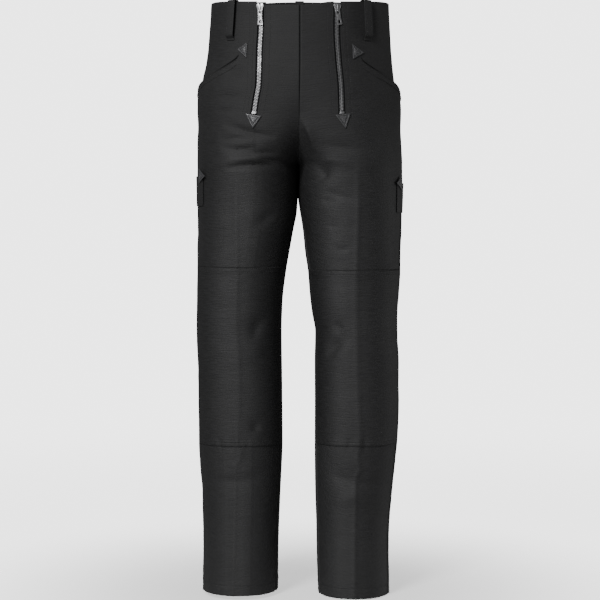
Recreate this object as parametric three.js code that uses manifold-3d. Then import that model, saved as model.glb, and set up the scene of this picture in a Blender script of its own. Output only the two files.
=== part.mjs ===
// Work trousers with two front zips, in their worn form, empty and open at waist and hems.
// Millimetres. +Z is up, -Y is the front, +X is the wearer's left.
// The origin is the centre of the waist, halfway down the waistband.

import * as THREE from 'three';
import { mergeVertices } from 'three/addons/utils/BufferGeometryUtils.js';
import Module from 'manifold-3d';

const manifold = await Module();
manifold.setup();

const { clamp, degToRad, lerp, smoothstep } = THREE.MathUtils;

// ---------------------------------------------------------------- driving dimensions

const CLOTH = 1.3;            // wall of the heavy cotton
const BAND_WALL = 2.2;        // the waistband is two layers
const SEAM_GAP = 0.3;         // between neighbouring pieces
const SIDE_SEAM_GAP = 0.25;   // the back's part of the gap at the side seam
const BEHIND = 2.8;           // how far a piece behind a panel lies below the panel's face
const ROUNDNESS = 2.2;        // exponent of the superelliptic sections, 2 is an ellipse

const WAIST_SIDE = 26.2;      // top edge at the side seams
const WAIST_FRONT_DIP = 9.9;  // the top edge falls this much to the centre front
const WAIST_BACK_RISE = 21.4; // and rises this much to the centre back
const FLAP_DROP = 6;          // the flap between the zips hangs lower than the waist edge
const BAND_HEIGHT = 48;
const CROTCH = -265;

const MOUTH_INNER_X = 107;    // the pocket mouth starts beside the zip
const MOUTH_INNER_Z = { left: -79, right: -74 };
const MOUTH_OUTER_Z = { left: -134, right: -128 };
const MOUTH_BOW = 0.7;        // below 1 the mouth sags between its ends
const MOUTH_CUT = 0.7;        // width of the cut itself
const MOUTH_GAPE = { left: 7, right: 4.5 };
const GAPE_BELOW = 75;        // the lip lies flat again this far below the mouth
const GAPE_FULL = 0.7;        // share of the mouth, from its inner end, where the gape is whole
const GAPE_SIDE_FALL = 8;     // the back takes the gape up over this height
const FACING_ABOVE = 20;      // the facing reaches above and below the mouth
const FACING_BELOW = 42;
const FACING_FOLLOW = 0.5;    // share of the lip's gape that the facing takes up
const FACING_START = { from: 6, to: 24 };   // and over which distance below the mouth

const ZIP_SLOT = 12.4;        // width of the slot in the front for the zip
const ZIP_END = -180;
const SLOT_PAST_END = 4;      // the slot may run on this far behind the leather
const SLOT_FADE = 150;        // below the slot its two columns spread out over this height
const TAPE_WIDTH = 19;
const TAPE_WALL = 0.8;
const TAPE_BELOW_EDGE = 1;    // the tape and the chain start this far below the waist edge
const CHAIN_BELOW_EDGE = 3;
const TAPE_PAST_SLOT = 12;
const CHAIN_WIDTH = 7;
const CHAIN_THICK = 2.6;
const CHAIN_END = 7;          // heights above the slot's end
const STOP = { top: 6.5, bottom: 2, wider: 0.8, thicker: 0.4 };

const KNEE_TOP = { left: -449, right: -444 };
const KNEE_BOTTOM = -763;
const HEM = { left: -1038.5, right: -1033 };

const LOOP_WIDTH = 15.5;
const FRONT_LOOP_X = { left: 115.1, right: 117.2 };   // the front loops, from the centre front
const SIDE_LOOP_TURN = 32;    // degrees from the side line round to the side-back loops
const LOOP_WALL = 1.6;
const LOOP_STAND = 9;         // face of a loop above the waistband
const LOOP_BEHIND = 1.3;      // the turned end lies this far behind the waistband
const LOOP_TOP = 2.3;         // a loop stands above the waist edge by this
const LOOP_LENGTH = 71;

const LEATHER_WALL = 1.7;
const LEATHER_SEAT = 0.8;     // a leather piece lies this far off the cloth

// Rows of the panels, counted downwards from one level to the next.
const ROWS = { toMouth: 5, toCrotch: 15, toKnee: 10, knee: 9, toHem: 7 };
const FRONT_COLUMNS = { mouth: 4, slotOuter: 6, slotInner: 7, inner: 11 };
const BACK_COLUMNS = 9;

const SIDES = { left: 1, right: -1 };

// ---------------------------------------------------------------- tables

function table(columns, ...rows) {
  return rows.map((row) => Object.fromEntries(columns.map((name, i) => [name, row[i]])));
}

// Each leg's reach from the midline, outwards and inwards. Above the crotch the inward reach is
// negative: the section runs on past the midline and is cut there, which makes the rise seam.
const LEG = {
  left: table(['z', 'outer', 'inner'],
    [25, 160, -160], [-23, 162.5, -158], [-72, 165.5, -146], [-109, 170, -122], [-135, 175, -102],
    [-170, 180, -76], [-200, 182.5, -54], [-235, 185, -22], [-250, 186, -9], [CROTCH, 186.5, 0.15],
    [-303, 187.8, 0.2], [-327, 187.8, 1.9], [-345, 187.5, 4.5], [-382, 187, 10], [-418, 186, 13.6],
    [-455, 185.5, 19], [-491, 183.4, 21.8], [-527, 180.8, 26], [-564, 180.7, 32], [-618, 184, 31],
    [-691, 184.2, 31.4], [-764, 181.7, 31.2], [-800, 178, 31.4], [-855, 172.7, 32.2],
    [-910, 168, 34], [-964, 167, 35], [-1037, 168, 37.5]),
  right: table(['z', 'outer', 'inner'],
    [25, 160, -160], [-23, 163, -158], [-72, 168, -146], [-109, 175.5, -122], [-135, 180, -102],
    [-170, 183, -76], [-200, 183, -54], [-235, 182.7, -22], [-250, 182.6, -9], [CROTCH, 182, 0.15],
    [-303, 181, 0.2], [-327, 180.4, 1], [-345, 180, 1.6], [-382, 179.5, 8], [-418, 181, 14.5],
    [-455, 181.2, 20.8], [-509, 182, 27], [-560, 182.3, 28.6], [-655, 179.9, 27.7],
    [-764, 179.7, 27], [-800, 178, 28.3], [-855, 173.8, 31], [-946, 172.5, 34.5],
    [-1037, 173.7, 35.7]),
};

// Front and back of every section, and the sideways place of the line between the legs.
const BODY = table(['z', 'front', 'back', 'midline'],
  [25, -115, 118, 0], [-23, -118, 121, 0], [-72, -122, 128, 0], [-130, -125, 137, -0.5],
  [-190, -124, 141, -1], [-240, -119, 134, -2], [-309, -110, 112, -3.8],
  [-380, -104, 97, -4.5], [-455, -99, 84, -4.5], [-560, -93, 73, -4.5],
  [-655, -88, 73, -4.5], [-764, -81, 76, -4.5], [-855, -76, 78, -4.5],
  [-1037, -73, 78, -4.5]);

// Where the seams run, in degrees round a leg from its outermost line towards the back.
const SEAMS = table(['z', 'side', 'inseam'],
  [25, 2, 180], [-120, 5, 180], [-190, 0, 180], [CROTCH, -7, 180], [-309, -10, 174],
  [-380, -14, 166], [-455, -17, 162], [-1037, -19, 160]);

// The line of each zip, as distances from the centre front.
const ZIP_LINE = {
  left: table(['z', 'x'], [10, 64.5], [-32, 64.2], [-85, 67.2], [-134, 71.6], [-180, 73]),
  right: table(['z', 'x'], [10, 68.9], [-27, 68.2], [-67, 70.3], [-102, 70.9], [-128, 71.8],
    [-146, 75], [-180, 80.5]),
};

// The largest folds, from one end to the other in the front view. A negative depth is a ridge.
const FOLD_COLUMNS = ['x0', 'z0', 'x1', 'z1', 'bow', 'depth', 'width'];
const FOLDS = {
  front: table(FOLD_COLUMNS,
    [-124, -197, -49, -217, -3, 3.6, 9],
    [-134, -228, -75, -229, -2, 3, 9],
    [-117, -249, -42, -246, 2, 3, 8],
    [-126, -263, -44, -259, 5, -3, 10],
    [-123, -270, -22, -272, 5, 4.5, 9],
    [-62, -255, 0, -267, 0, 4, 9],
    [-150, -148, -98, -147, 0, 2.4, 9],
    [10, -188, 26, -240, 4, -4, 8],
    [9, -222, 13, -263, 0, 3, 8],
    [18, -266, 78, -263, 6, -3, 9],
    [10, -297, 49, -278, -3, 5, 9],
    [49, -233, 115, -240, 0, 2.2, 10],
    [38, -310, 96, -327, 0, 2.4, 10],
    [-75, -372, -33, -345, 3, 3, 11],
    [63, -411, 86, -411, -2, 1.8, 9],
    [41, -611, 76, -574, 4, 4.6, 14],
    [60, -540, 72, -560, 0, 3, 13],
    [-83, -569, -60, -532, 3, 3.4, 13],
    [-85, -735, -72, -722, 0, 2.8, 11],
    [-45, -812, -150, -826, 5, 2.6, 14],
    [50, -812, 150, -832, -4, 3, 14],
    [60, -868, 120, -850, 3, -2.4, 18]),
  back: table(FOLD_COLUMNS,
    [-8, -262, -96, -226, 6, 3.6, 12],
    [8, -264, 90, -232, 5, 3.6, 12],
    [-14, -292, -120, -276, 6, 3.2, 13],
    [14, -296, 116, -270, 8, 3.2, 13],
    [-30, -330, -140, -322, -4, 2.4, 15],
    [28, -338, 132, -318, -5, 2.4, 15],
    [-50, -530, -160, -520, 6, 3, 16],
    [48, -536, 158, -516, 5, 3, 16],
    [-56, -572, -150, -580, -5, 3, 16],
    [52, -566, 150, -584, -6, 3, 16],
    [-60, -610, -140, -616, 3, 2.4, 18],
    [56, -614, 136, -606, 4, 2.4, 18],
    [-60, -850, -150, -838, 5, 2.4, 18],
    [52, -846, 148, -858, 4, 2.4, 18]),
};

// The leather pieces at the zips' ends and the pocket mouths, each a triangle by its corners,
// as distances from the centre front and heights.
const LEATHER = {
  zip_left: { side: 'left', corners: [[61, -180], [87.6, -177], [79, -203.6]] },
  zip_right: { side: 'right', corners: [[66.3, -181.7], [94.2, -177.3], [82, -203]] },
  pocket_left: { side: 'left', corners: [[90.7, -55.7], [111.5, -70], [91.5, -82.6]] },
  pocket_right: { side: 'right', corners: [[91.6, -53.3], [109.4, -64.3], [92.4, -80.6]] },
};

// The patch at the mouth of each ruler pocket, in degrees round the leg and heights.
const RULER_POCKET = {
  left: { from: -31, to: 10, top: -295, bottom: -348 },
  right: { from: -33, to: 10, top: -283, bottom: -336 },
};
const RULER_STAND = 1.2;      // how far the patch stands off the leg at its mouth
const RULER_LEATHER_TURN = { left: { front: -36, back: -21 }, right: { front: -41, back: -26 } };
const RULER_LEATHER = { height: 28, seat: 1 };

const FLAP_RIDGE = { height: 5, spread: 38, low: -235, high: -150 };
const LEGS_FACING = { from: 0.3, to: 0.9 };   // folds fade out where the legs face each other

// ---------------------------------------------------------------- the skin of the garment

// A smooth curve through one column of a table, with no overshoot between its rows.
function curve(rows, column) {
  const z = rows.map((row) => row.z);
  const value = rows.map((row) => row[column]);
  const slope = z.slice(1).map((_, i) => (value[i + 1] - value[i]) / (z[i + 1] - z[i]));
  const tangent = value.map((_, i) => {
    const before = slope[Math.max(i - 1, 0)];
    const after = slope[Math.min(i, slope.length - 1)];
    return before * after <= 0 ? 0 : 2 * before * after / (before + after);
  });
  return (height) => {
    const h = clamp(height, z.at(-1), z[0]);
    const next = z.findIndex((level, i) => i > 0 && h >= level);
    const i = next - 1;
    const span = z[next] - z[i];
    const t = (h - z[i]) / span;
    const start = value[i] * (1 + 2 * t) + tangent[i] * span * t;
    const end = value[next] * (3 - 2 * t) - tangent[next] * span * (1 - t);
    return start * (1 - t) ** 2 + end * t ** 2;
  };
}

const outerReach = { left: curve(LEG.left, 'outer'), right: curve(LEG.right, 'outer') };
const innerReach = { left: curve(LEG.left, 'inner'), right: curve(LEG.right, 'inner') };
const frontLine = curve(BODY, 'front');
const backLine = curve(BODY, 'back');
const midline = curve(BODY, 'midline');
const sideSeam = curve(SEAMS, 'side');
const inseam = curve(SEAMS, 'inseam');
const zipLine = { left: curve(ZIP_LINE.left, 'x'), right: curve(ZIP_LINE.right, 'x') };

const power = (value, exponent) => Math.sign(value) * Math.abs(value) ** exponent;

function section(side, z) {
  const outer = outerReach[side](z);
  const inner = innerReach[side](z);
  return {
    axis: (outer + inner) / 2,
    reach: (outer - inner) / 2,
    middle: (frontLine(z) + backLine(z)) / 2,
    depth: (backLine(z) - frontLine(z)) / 2,
  };
}

// A point of the smooth form. The turn is 0 at the outermost line, negative towards the front.
function form(side, z, turn) {
  const { axis, reach, middle, depth } = section(side, z);
  const across = axis + reach * power(Math.cos(turn), 2 / ROUNDNESS);
  const along = middle + depth * power(Math.sin(turn), 2 / ROUNDNESS);
  return new THREE.Vector3(midline(z) + SIDES[side] * across, along, z);
}

function outward(side, z, turn) {
  const turnStep = 0.02;
  const zStep = 4;
  const around = form(side, z, turn + turnStep).sub(form(side, z, turn - turnStep));
  const upwards = form(side, z + zStep, turn).sub(form(side, z - zStep, turn));
  return around.cross(upwards).multiplyScalar(SIDES[side]).normalize();
}

// The turn at which a section passes a given distance from the centre line, on the front.
function turnAt(side, z, distance) {
  const { axis, reach } = section(side, z);
  const share = (distance - SIDES[side] * midline(z) - axis) / reach;
  return -Math.acos(clamp(power(share, ROUNDNESS / 2), -1, 1));
}

// The turn at which a section meets the midline, or a whole half turn below the crotch.
function riseTurn(side, z) {
  const { axis, reach } = section(side, z);
  const share = (SEAM_GAP / 2 - axis) / reach;
  return Math.acos(clamp(power(share, ROUNDNESS / 2), -1, 1));
}

function foldRelief(point, face) {
  return FOLDS[face].reduce((sum, fold) => {
    const run = new THREE.Vector2(fold.x1 - fold.x0, fold.z1 - fold.z0);
    const from = new THREE.Vector2(point.x - fold.x0, point.z - fold.z0);
    const t = clamp(from.dot(run) / run.lengthSq(), 0, 1);
    const bow = new THREE.Vector2(-run.y, run.x).setLength(fold.bow * 4 * t * (1 - t));
    const away = from.sub(run.clone().multiplyScalar(t)).sub(bow).length();
    const strength = 0.35 + 0.65 * Math.sin(Math.PI * t);
    return sum - fold.depth * strength * Math.exp(-((away / fold.width) ** 2));
  }, 0);
}

// The lift of the front towards the centre seam, which makes two flat halves of it.
function flapRidge(point) {
  const share = Math.exp(-Math.abs(point.x) / FLAP_RIDGE.spread);
  return FLAP_RIDGE.height * share * smoothstep(point.z, FLAP_RIDGE.low, FLAP_RIDGE.high);
}

// A point of the garment's face, lifted off it by a distance.
function skin(side, z, turn, lift = 0) {
  const point = form(side, z, turn);
  const out = outward(side, z, turn);
  const facing = smoothstep(-SIDES[side] * out.x, LEGS_FACING.from, LEGS_FACING.to);
  const inFront = Math.sin(turn) <= 0;
  const ridge = inFront ? flapRidge(point) : 0;
  const relief = foldRelief(point, inFront ? 'front' : 'back') * (1 - facing);
  point.addScaledVector(out, relief + lift);
  point.y -= ridge;
  return point;
}

// The turn that lies a distance further round at the same height.
function turnBeside(side, z, turn, distance) {
  const step = 0.05;
  const reach = form(side, z, turn + step).distanceTo(form(side, z, turn - step)) / (2 * step);
  return turn + distance / reach;
}

function waistEdge(turn) {
  const change = Math.sin(turn) > 0 ? WAIST_BACK_RISE : -WAIST_FRONT_DIP;
  return WAIST_SIDE + change * Math.sin(turn) ** 2;
}

// The top of a front panel. The flap between the zips hangs lower towards the right zip.
function frontEdge(side, turn, column) {
  const { slotInner, inner } = FRONT_COLUMNS;
  if (column < slotInner) return waistEdge(turn);
  const share = side === 'left' ? smoothstep(column, slotInner, inner) : 1;
  return waistEdge(turn) - FLAP_DROP * share;
}

// ---------------------------------------------------------------- building solids

// Turns a list of triangles over shared points into a closed solid's geometry, facing outwards.
function solid(points, triangles) {
  const corners = triangles.flat().map((index) => points[index]);
  let volume = 0;
  for (let i = 0; i < corners.length; i += 3) {
    volume += corners[i].dot(corners[i + 1].clone().cross(corners[i + 2]));
  }
  if (volume < 0) {
    for (let i = 0; i < corners.length; i += 3) {
      [corners[i + 1], corners[i + 2]] = [corners[i + 2], corners[i + 1]];
    }
  }
  const geometry = new THREE.BufferGeometry().setFromPoints(corners);
  const merged = mergeVertices(geometry, 1e-3);
  merged.computeVertexNormals();
  return merged;
}

// A wall between two like layers of points. Its open edges are closed by rims.
function wall(outer, inner, faces) {
  const count = outer.length;
  const open = new Map();
  for (const [a, b, c] of faces) {
    for (const [from, to] of [[a, b], [b, c], [c, a]]) {
      if (!open.delete(`${to} ${from}`)) open.set(`${from} ${to}`, [from, to]);
    }
  }
  const rims = [...open.values()].flatMap(([from, to]) => [
    [to, from, from + count], [to, from + count, to + count],
  ]);
  const back = faces.map(([a, b, c]) => [c + count, b + count, a + count]);
  return solid([...outer, ...inner], [...faces, ...back, ...rims]);
}

// A wall over a grid. place(row, column, lift) gives its points and keep says which cells stay.
function sheet(rows, columns, place, top, bottom, keep = () => true) {
  const layer = (lift) => {
    const points = [];
    for (let row = 0; row <= rows; row += 1) {
      for (let column = 0; column <= columns; column += 1) points.push(place(row, column, lift));
    }
    return points;
  };
  const faces = [];
  for (let row = 0; row < rows; row += 1) {
    for (let column = 0; column < columns; column += 1) {
      const a = row * (columns + 1) + column;
      const c = a + columns + 1;
      if (keep(row, column)) faces.push([a, a + 1, c], [a + 1, c + 1, c]);
    }
  }
  return wall(layer(top), layer(bottom), faces);
}

function toManifold(geometry) {
  const bare = geometry.clone();
  bare.deleteAttribute('normal');
  bare.deleteAttribute('uv');
  const merged = mergeVertices(bare, 1e-4);
  return new manifold.Manifold(new manifold.Mesh({
    numProp: 3,
    vertProperties: new Float32Array(merged.attributes.position.array),
    triVerts: new Uint32Array(merged.index.array),
  }));
}

function joined(...geometries) {
  const whole = geometries.map(toManifold).reduce((sum, next) => sum.add(next));
  const mesh = whole.getMesh();
  const geometry = new THREE.BufferGeometry();
  geometry.setAttribute('position', new THREE.BufferAttribute(mesh.vertProperties, 3));
  geometry.setIndex([...mesh.triVerts]);
  geometry.computeVertexNormals();
  return geometry;
}

// ---------------------------------------------------------------- materials and placing

const finish = (color, roughness, metalness) => ({ color, roughness, metalness });
const FINISH = {
  cloth: finish('#232326', 0.85, 0),
  leather: finish('#26262a', 0.45, 0),
  tape: finish('#151517', 0.9, 0),
  metal: finish('#b9babc', 0.3, 1),
};

const trousers = new THREE.Group();

function add(name, geometry, look) {
  const mesh = new THREE.Mesh(geometry, new THREE.MeshStandardMaterial(FINISH[look]));
  mesh.name = name;
  trousers.add(mesh);
  return mesh;
}

// ---------------------------------------------------------------- rows and columns of the panels

// Heights down the rise seam from a start to the crotch, evenly spaced along the seam.
function riseHeights(side, start, direction) {
  const steps = 240;
  const samples = Array.from({ length: steps + 1 }, (_, i) => {
    const z = lerp(CROTCH, start, (1 - i / steps) ** 2);
    return form(side, z, direction * riseTurn(side, z));
  });
  const travelled = [0];
  for (let i = 1; i <= steps; i += 1) {
    travelled.push(travelled[i - 1] + samples[i].distanceTo(samples[i - 1]));
  }
  return (share) => {
    const goal = share * travelled[steps];
    const i = clamp(travelled.findIndex((length) => length >= goal), 1, steps);
    const t = (goal - travelled[i - 1]) / (travelled[i] - travelled[i - 1]);
    return lerp(samples[i - 1].z, samples[i].z, t);
  };
}

const CROTCH_ROW_SIDE = -302;   // the side seam's height in the row that ends at the crotch

// The height of a row below the crotch row, which both panels share.
function legHeight(side, row, share) {
  const start = lerp(CROTCH_ROW_SIDE, CROTCH, share ** 1.5);
  if (row <= ROWS.toKnee) return lerp(start, KNEE_TOP[side], row / ROWS.toKnee);
  const below = row - ROWS.toKnee;
  if (below <= ROWS.knee) return lerp(KNEE_TOP[side], KNEE_BOTTOM, below / ROWS.knee);
  return lerp(KNEE_BOTTOM, HEM[side], (below - ROWS.knee) / ROWS.toHem);
}

const LEG_ROWS = ROWS.toKnee + ROWS.knee + ROWS.toHem;
const MOUTH_ROW = ROWS.toMouth;               // the row on the upper lip of the pocket mouth
const FRONT_CROTCH_ROW = MOUTH_ROW + 1 + ROWS.toCrotch;
const FRONT_ROWS = FRONT_CROTCH_ROW + LEG_ROWS;

function mouthHeight(side, column) {
  const share = clamp(1 - column / FRONT_COLUMNS.mouth, 0, 1);
  return lerp(MOUTH_INNER_Z[side], MOUTH_OUTER_Z[side], share ** MOUTH_BOW);
}

const frontRise = {
  left: riseHeights('left', MOUTH_INNER_Z.left - MOUTH_CUT, -1),
  right: riseHeights('right', MOUTH_INNER_Z.right - MOUTH_CUT, -1),
};

function frontColumnTurn(side, z, column) {
  const { mouth, slotOuter, slotInner, inner } = FRONT_COLUMNS;
  const edge = SEAM_GAP / 2;
  const start = turnBeside(side, z, degToRad(sideSeam(z)), -edge);
  const seam = -Math.min(riseTurn(side, z), degToRad(inseam(z)));
  const end = z < CROTCH ? turnBeside(side, z, seam, edge) : seam;
  const zip = zipLine[side](z);
  const stops = [[0, start], [mouth, turnAt(side, z, MOUTH_INNER_X)],
    [slotOuter, turnAt(side, z, zip + ZIP_SLOT / 2)],
    [slotInner, turnAt(side, z, zip - ZIP_SLOT / 2)], [inner, end]];
  const next = stops.findIndex(([place], i) => i > 0 && column <= place);
  const [[from, turnFrom], [to, turnTo]] = [stops[next - 1], stops[next]];
  const placed = lerp(turnFrom, turnTo, (column - from) / (to - from));
  const even = lerp(start, end, column / inner);
  return lerp(even, placed, smoothstep(z, ZIP_END - SLOT_FADE, ZIP_END));
}

function frontHeight(side, row, column) {
  const { slotOuter, inner } = FRONT_COLUMNS;
  const mouth = mouthHeight(side, column);
  if (row <= MOUTH_ROW) {
    const top = frontEdge(side, frontColumnTurn(side, 0, column), column);
    return lerp(top, mouth, row / MOUTH_ROW);
  }
  if (row >= FRONT_CROTCH_ROW) return legHeight(side, row - FRONT_CROTCH_ROW, column / inner);
  const share = (row - MOUTH_ROW - 1) / ROWS.toCrotch;
  const straight = lerp(mouth - MOUTH_CUT, legHeight(side, 0, column / inner), share);
  const weight = clamp((column - slotOuter) / (inner - slotOuter), 0, 1) ** 2;
  return lerp(straight, frontRise[side](share), weight);
}

// How far the lower lip of the pocket mouth stands off, most near the side seam.
function mouthGape(side, row, column, z) {
  if (row <= MOUTH_ROW || column >= FRONT_COLUMNS.mouth) return 0;
  const share = 1 - column / FRONT_COLUMNS.mouth;
  const below = mouthHeight(side, column) - z;
  const falling = 1 - smoothstep(below, 0, GAPE_BELOW);
  return MOUTH_GAPE[side] * smoothstep(share, 0, GAPE_FULL) * falling;
}

function frontPoint(side, row, column, lift) {
  const z = frontHeight(side, row, column);
  const turn = frontColumnTurn(side, z, column);
  return skin(side, z, turn, lift + mouthGape(side, row, column, z));
}

// ---------------------------------------------------------------- cloth pieces

function frontPanel(side) {
  const place = (row, column, lift) => frontPoint(side, row, column, lift);
  const keep = (row, column) => {
    const z = frontHeight(side, row + 0.5, column + 0.5);
    const inMouth = row === MOUTH_ROW && column < FRONT_COLUMNS.mouth;
    const inSlot = column === FRONT_COLUMNS.slotOuter && z > ZIP_END - SLOT_PAST_END;
    return !inMouth && !inSlot;
  };
  return sheet(FRONT_ROWS, FRONT_COLUMNS.inner, place, 0, -CLOTH, keep);
}

function bandSeam(turn) {
  return waistEdge(turn) - BAND_HEIGHT;
}

const BACK_TOP = bandSeam(Math.PI / 2) - SEAM_GAP;
const backRise = {
  left: riseHeights('left', BACK_TOP, 1),
  right: riseHeights('right', BACK_TOP, 1),
};

function backColumnTurn(side, z, column) {
  const edge = SEAM_GAP / 2;
  const start = turnBeside(side, z, degToRad(sideSeam(z)), SIDE_SEAM_GAP);
  const seam = Math.min(riseTurn(side, z), degToRad(inseam(z)));
  const past = z < CROTCH ? 2 * Math.PI - degToRad(inseam(z)) : seam;
  const end = z < CROTCH ? turnBeside(side, z, past, -edge) : past;
  return lerp(start, end, column / BACK_COLUMNS);
}

// The back panel takes up the lip of the pocket mouth where it joins the front.
function backGape(side, z, column) {
  const columns = 2;
  const start = MOUTH_OUTER_Z[side];
  const rising = smoothstep(start - z, -GAPE_SIDE_FALL, GAPE_SIDE_FALL);
  const falling = 1 - smoothstep(start - z, 0, GAPE_BELOW);
  return MOUTH_GAPE[side] * (1 - smoothstep(column, 0, columns)) * rising * falling;
}

const BACK_UPPER_ROWS = 13;

function backPoint(side, row, column, lift) {
  const share = column / BACK_COLUMNS;
  const above = Math.min(row / BACK_UPPER_ROWS, 1);
  const top = bandSeam(backColumnTurn(side, 0, column)) - SEAM_GAP;
  const straight = lerp(top, legHeight(side, 0, share), above);
  const bend = backRise[side](above) - lerp(BACK_TOP, CROTCH, above);
  const upper = straight + bend * share ** 4;
  const z = row < BACK_UPPER_ROWS ? upper : legHeight(side, row - BACK_UPPER_ROWS, share);
  const turn = backColumnTurn(side, z, column);
  return skin(side, z, turn, lift + backGape(side, z, column));
}

function backPanel(side) {
  const place = (row, column, lift) => backPoint(side, row, column, lift);
  return sheet(BACK_UPPER_ROWS + LEG_ROWS, BACK_COLUMNS, place, 0, -CLOTH);
}

// The back waistband runs from the right side seam round the back to the left one.
function backWaistband() {
  const rows = 2;
  const place = (row, column, lift) => {
    const side = column < BACK_COLUMNS ? 'right' : 'left';
    const at = BACK_COLUMNS - Math.abs(column - BACK_COLUMNS);
    const z = waistEdge(backColumnTurn(side, 0, at)) - BAND_HEIGHT * row / rows;
    return skin(side, z, backColumnTurn(side, z, at), lift);
  };
  return sheet(rows, 2 * BACK_COLUMNS, place, 0, -BAND_WALL);
}

function pocketFacing(side) {
  const columns = 5;
  const rows = 5;
  const sideMargin = 0.15;
  const innerMargin = 0.4;
  const place = (row, column, lift) => {
    const reach = FRONT_COLUMNS.mouth + innerMargin;
    const at = lerp(sideMargin, reach, column / columns);
    const mouth = mouthHeight(side, at);
    const z = lerp(mouth + FACING_ABOVE, mouth - FACING_BELOW, row / rows);
    const turn = frontColumnTurn(side, z, at);
    const gape = mouthGape(side, MOUTH_ROW + 1, at, Math.min(z, mouth));
    const below = smoothstep(mouth - z, FACING_START.from, FACING_START.to);
    return skin(side, z, turn, lift + FACING_FOLLOW * gape * below);
  };
  return sheet(rows, columns, place, -BEHIND, -BEHIND - CLOTH);
}

// The knee patch follows the front panel's own points between the two knee rows.
function kneePatch(side) {
  const first = FRONT_CROTCH_ROW + ROWS.toKnee;
  const inset = 0.04;
  const place = (row, column, lift) => {
    const at = clamp(column, inset, FRONT_COLUMNS.inner - inset);
    return frontPoint(side, first + row, at, lift);
  };
  return sheet(ROWS.knee, FRONT_COLUMNS.inner, place, SEAM_GAP + CLOTH, SEAM_GAP);
}

// A ruler pocket's patch is sewn down along its sides and bottom and stands off at its mouth.
function rulerPocket(side) {
  const { from, to, top, bottom } = RULER_POCKET[side];
  const rows = 4;
  const columns = 5;
  const seat = 0.9;
  const place = (row, column, lift) => {
    const z = lerp(top, bottom, row / rows);
    const turn = degToRad(lerp(from, to, column / columns));
    const across = Math.sin(Math.PI * column / columns) ** 0.5;
    const down = 1 - 0.75 * row / rows;
    return skin(side, z, turn, lift + seat + RULER_STAND * across * down);
  };
  return sheet(rows, columns, place, CLOTH, 0);
}

// ---------------------------------------------------------------- belt loops

// A loop's strap in profile, as heights below its top and distances off the band's face.
// It is sewn down at the bottom, stands off the band and turns over the waist edge.
function loopProfile(waist) {
  const top = waist + LOOP_TOP;
  const foot = top - LOOP_LENGTH;
  const inside = -BAND_WALL - LOOP_BEHIND - LOOP_WALL;
  const near = LOOP_WALL + SEAM_GAP;
  return [
    [foot, near], [foot + 3, near], [foot + 6, LOOP_STAND * 0.75], [foot + 10, LOOP_STAND],
    [top - 7, LOOP_STAND], [top - 2, LOOP_STAND - 1], [top, LOOP_STAND - 3.4],
    [top, inside + 2.6], [top - 1.6, inside], [waist - 14, inside],
  ].map(([z, lift]) => new THREE.Vector2(z, lift));
}

function beltLoop(side, turn) {
  const waist = waistEdge(turn);
  const path = loopProfile(waist);
  const columns = 2;
  const normals = path.map((_, i) => {
    const before = path[Math.max(i - 1, 0)];
    const after = path[Math.min(i + 1, path.length - 1)];
    const along = after.clone().sub(before).normalize();
    return new THREE.Vector2(-along.y, along.x);
  });
  const place = (row, column, depth) => {
    const at = turnBeside(side, 0, turn, LOOP_WIDTH * (column / columns - 0.5));
    const rise = waistEdge(at) - waist;
    const z = path[row].x - normals[row].x * depth + rise;
    const lift = path[row].y - normals[row].y * depth;
    return skin(side, z, at, lift);
  };
  return sheet(path.length - 1, columns, place, 0, LOOP_WALL);
}

function frontLoop(side) {
  return beltLoop(side, turnAt(side, 0, FRONT_LOOP_X[side]));
}

// ---------------------------------------------------------------- leather pieces

// Rings of a leather triangle from its edge to its middle: a raised border, a groove and a
// raised centre.
const LEATHER_RINGS = table(['scale', 'height'],
  [1, 1.1], [0.9, LEATHER_WALL], [0.64, LEATHER_WALL], [0.56, 1.2], [0.42, LEATHER_WALL],
  [0, LEATHER_WALL + 0.3]);

function leatherTriangle(side, corners, toTurn, seat) {
  const centre = [0, 1].map((axis) => corners.reduce((sum, c) => sum + c[axis] / 3, 0));
  const rim = corners.flatMap((corner, i) => {
    const next = corners[(i + 1) % 3];
    return [corner, corner.map((value, axis) => (value + next[axis]) / 2)];
  });
  const rings = LEATHER_RINGS.filter(({ scale }) => scale > 0);
  const layer = (raised) => LEATHER_RINGS.flatMap(({ scale, height }) => {
    const ring = scale > 0 ? rim : [centre];
    return ring.map((point) => {
      const [across, z] = point.map((value, axis) => lerp(centre[axis], value, scale));
      return skin(side, z, toTurn(z, across), raised ? seat + height : seat);
    });
  });
  const faces = [];
  const count = rim.length;
  for (let i = 0; i < count; i += 1) {
    const next = (i + 1) % count;
    for (let ring = 0; ring < rings.length - 1; ring += 1) {
      const a = ring * count;
      faces.push([a + i, a + next, a + count + i]);
      faces.push([a + next, a + count + next, a + count + i]);
    }
    const last = (rings.length - 1) * count;
    faces.push([last + i, last + next, rings.length * count]);
  }
  return wall(layer(true), layer(false), faces);
}

function rulerLeather(side) {
  const { height } = RULER_LEATHER;
  const { front, back } = RULER_LEATHER_TURN[side];
  const { top } = RULER_POCKET[side];
  const corners = [[back, top + height / 2], [back, top - height / 2], [front, top - 1]];
  const seat = CLOTH + RULER_STAND + RULER_LEATHER.seat;
  return leatherTriangle(side, corners, (z, degrees) => degToRad(degrees), seat);
}

// ---------------------------------------------------------------- zips

function zipStrip(side, width, top, bottom, start, end, rows, columns) {
  const place = (row, column, lift) => {
    const z = lerp(start, end, row / rows);
    const across = width * (column / columns - 0.5);
    return skin(side, z, turnAt(side, z, zipLine[side](z) - across), lift);
  };
  return sheet(rows, columns, place, top, bottom);
}

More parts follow.
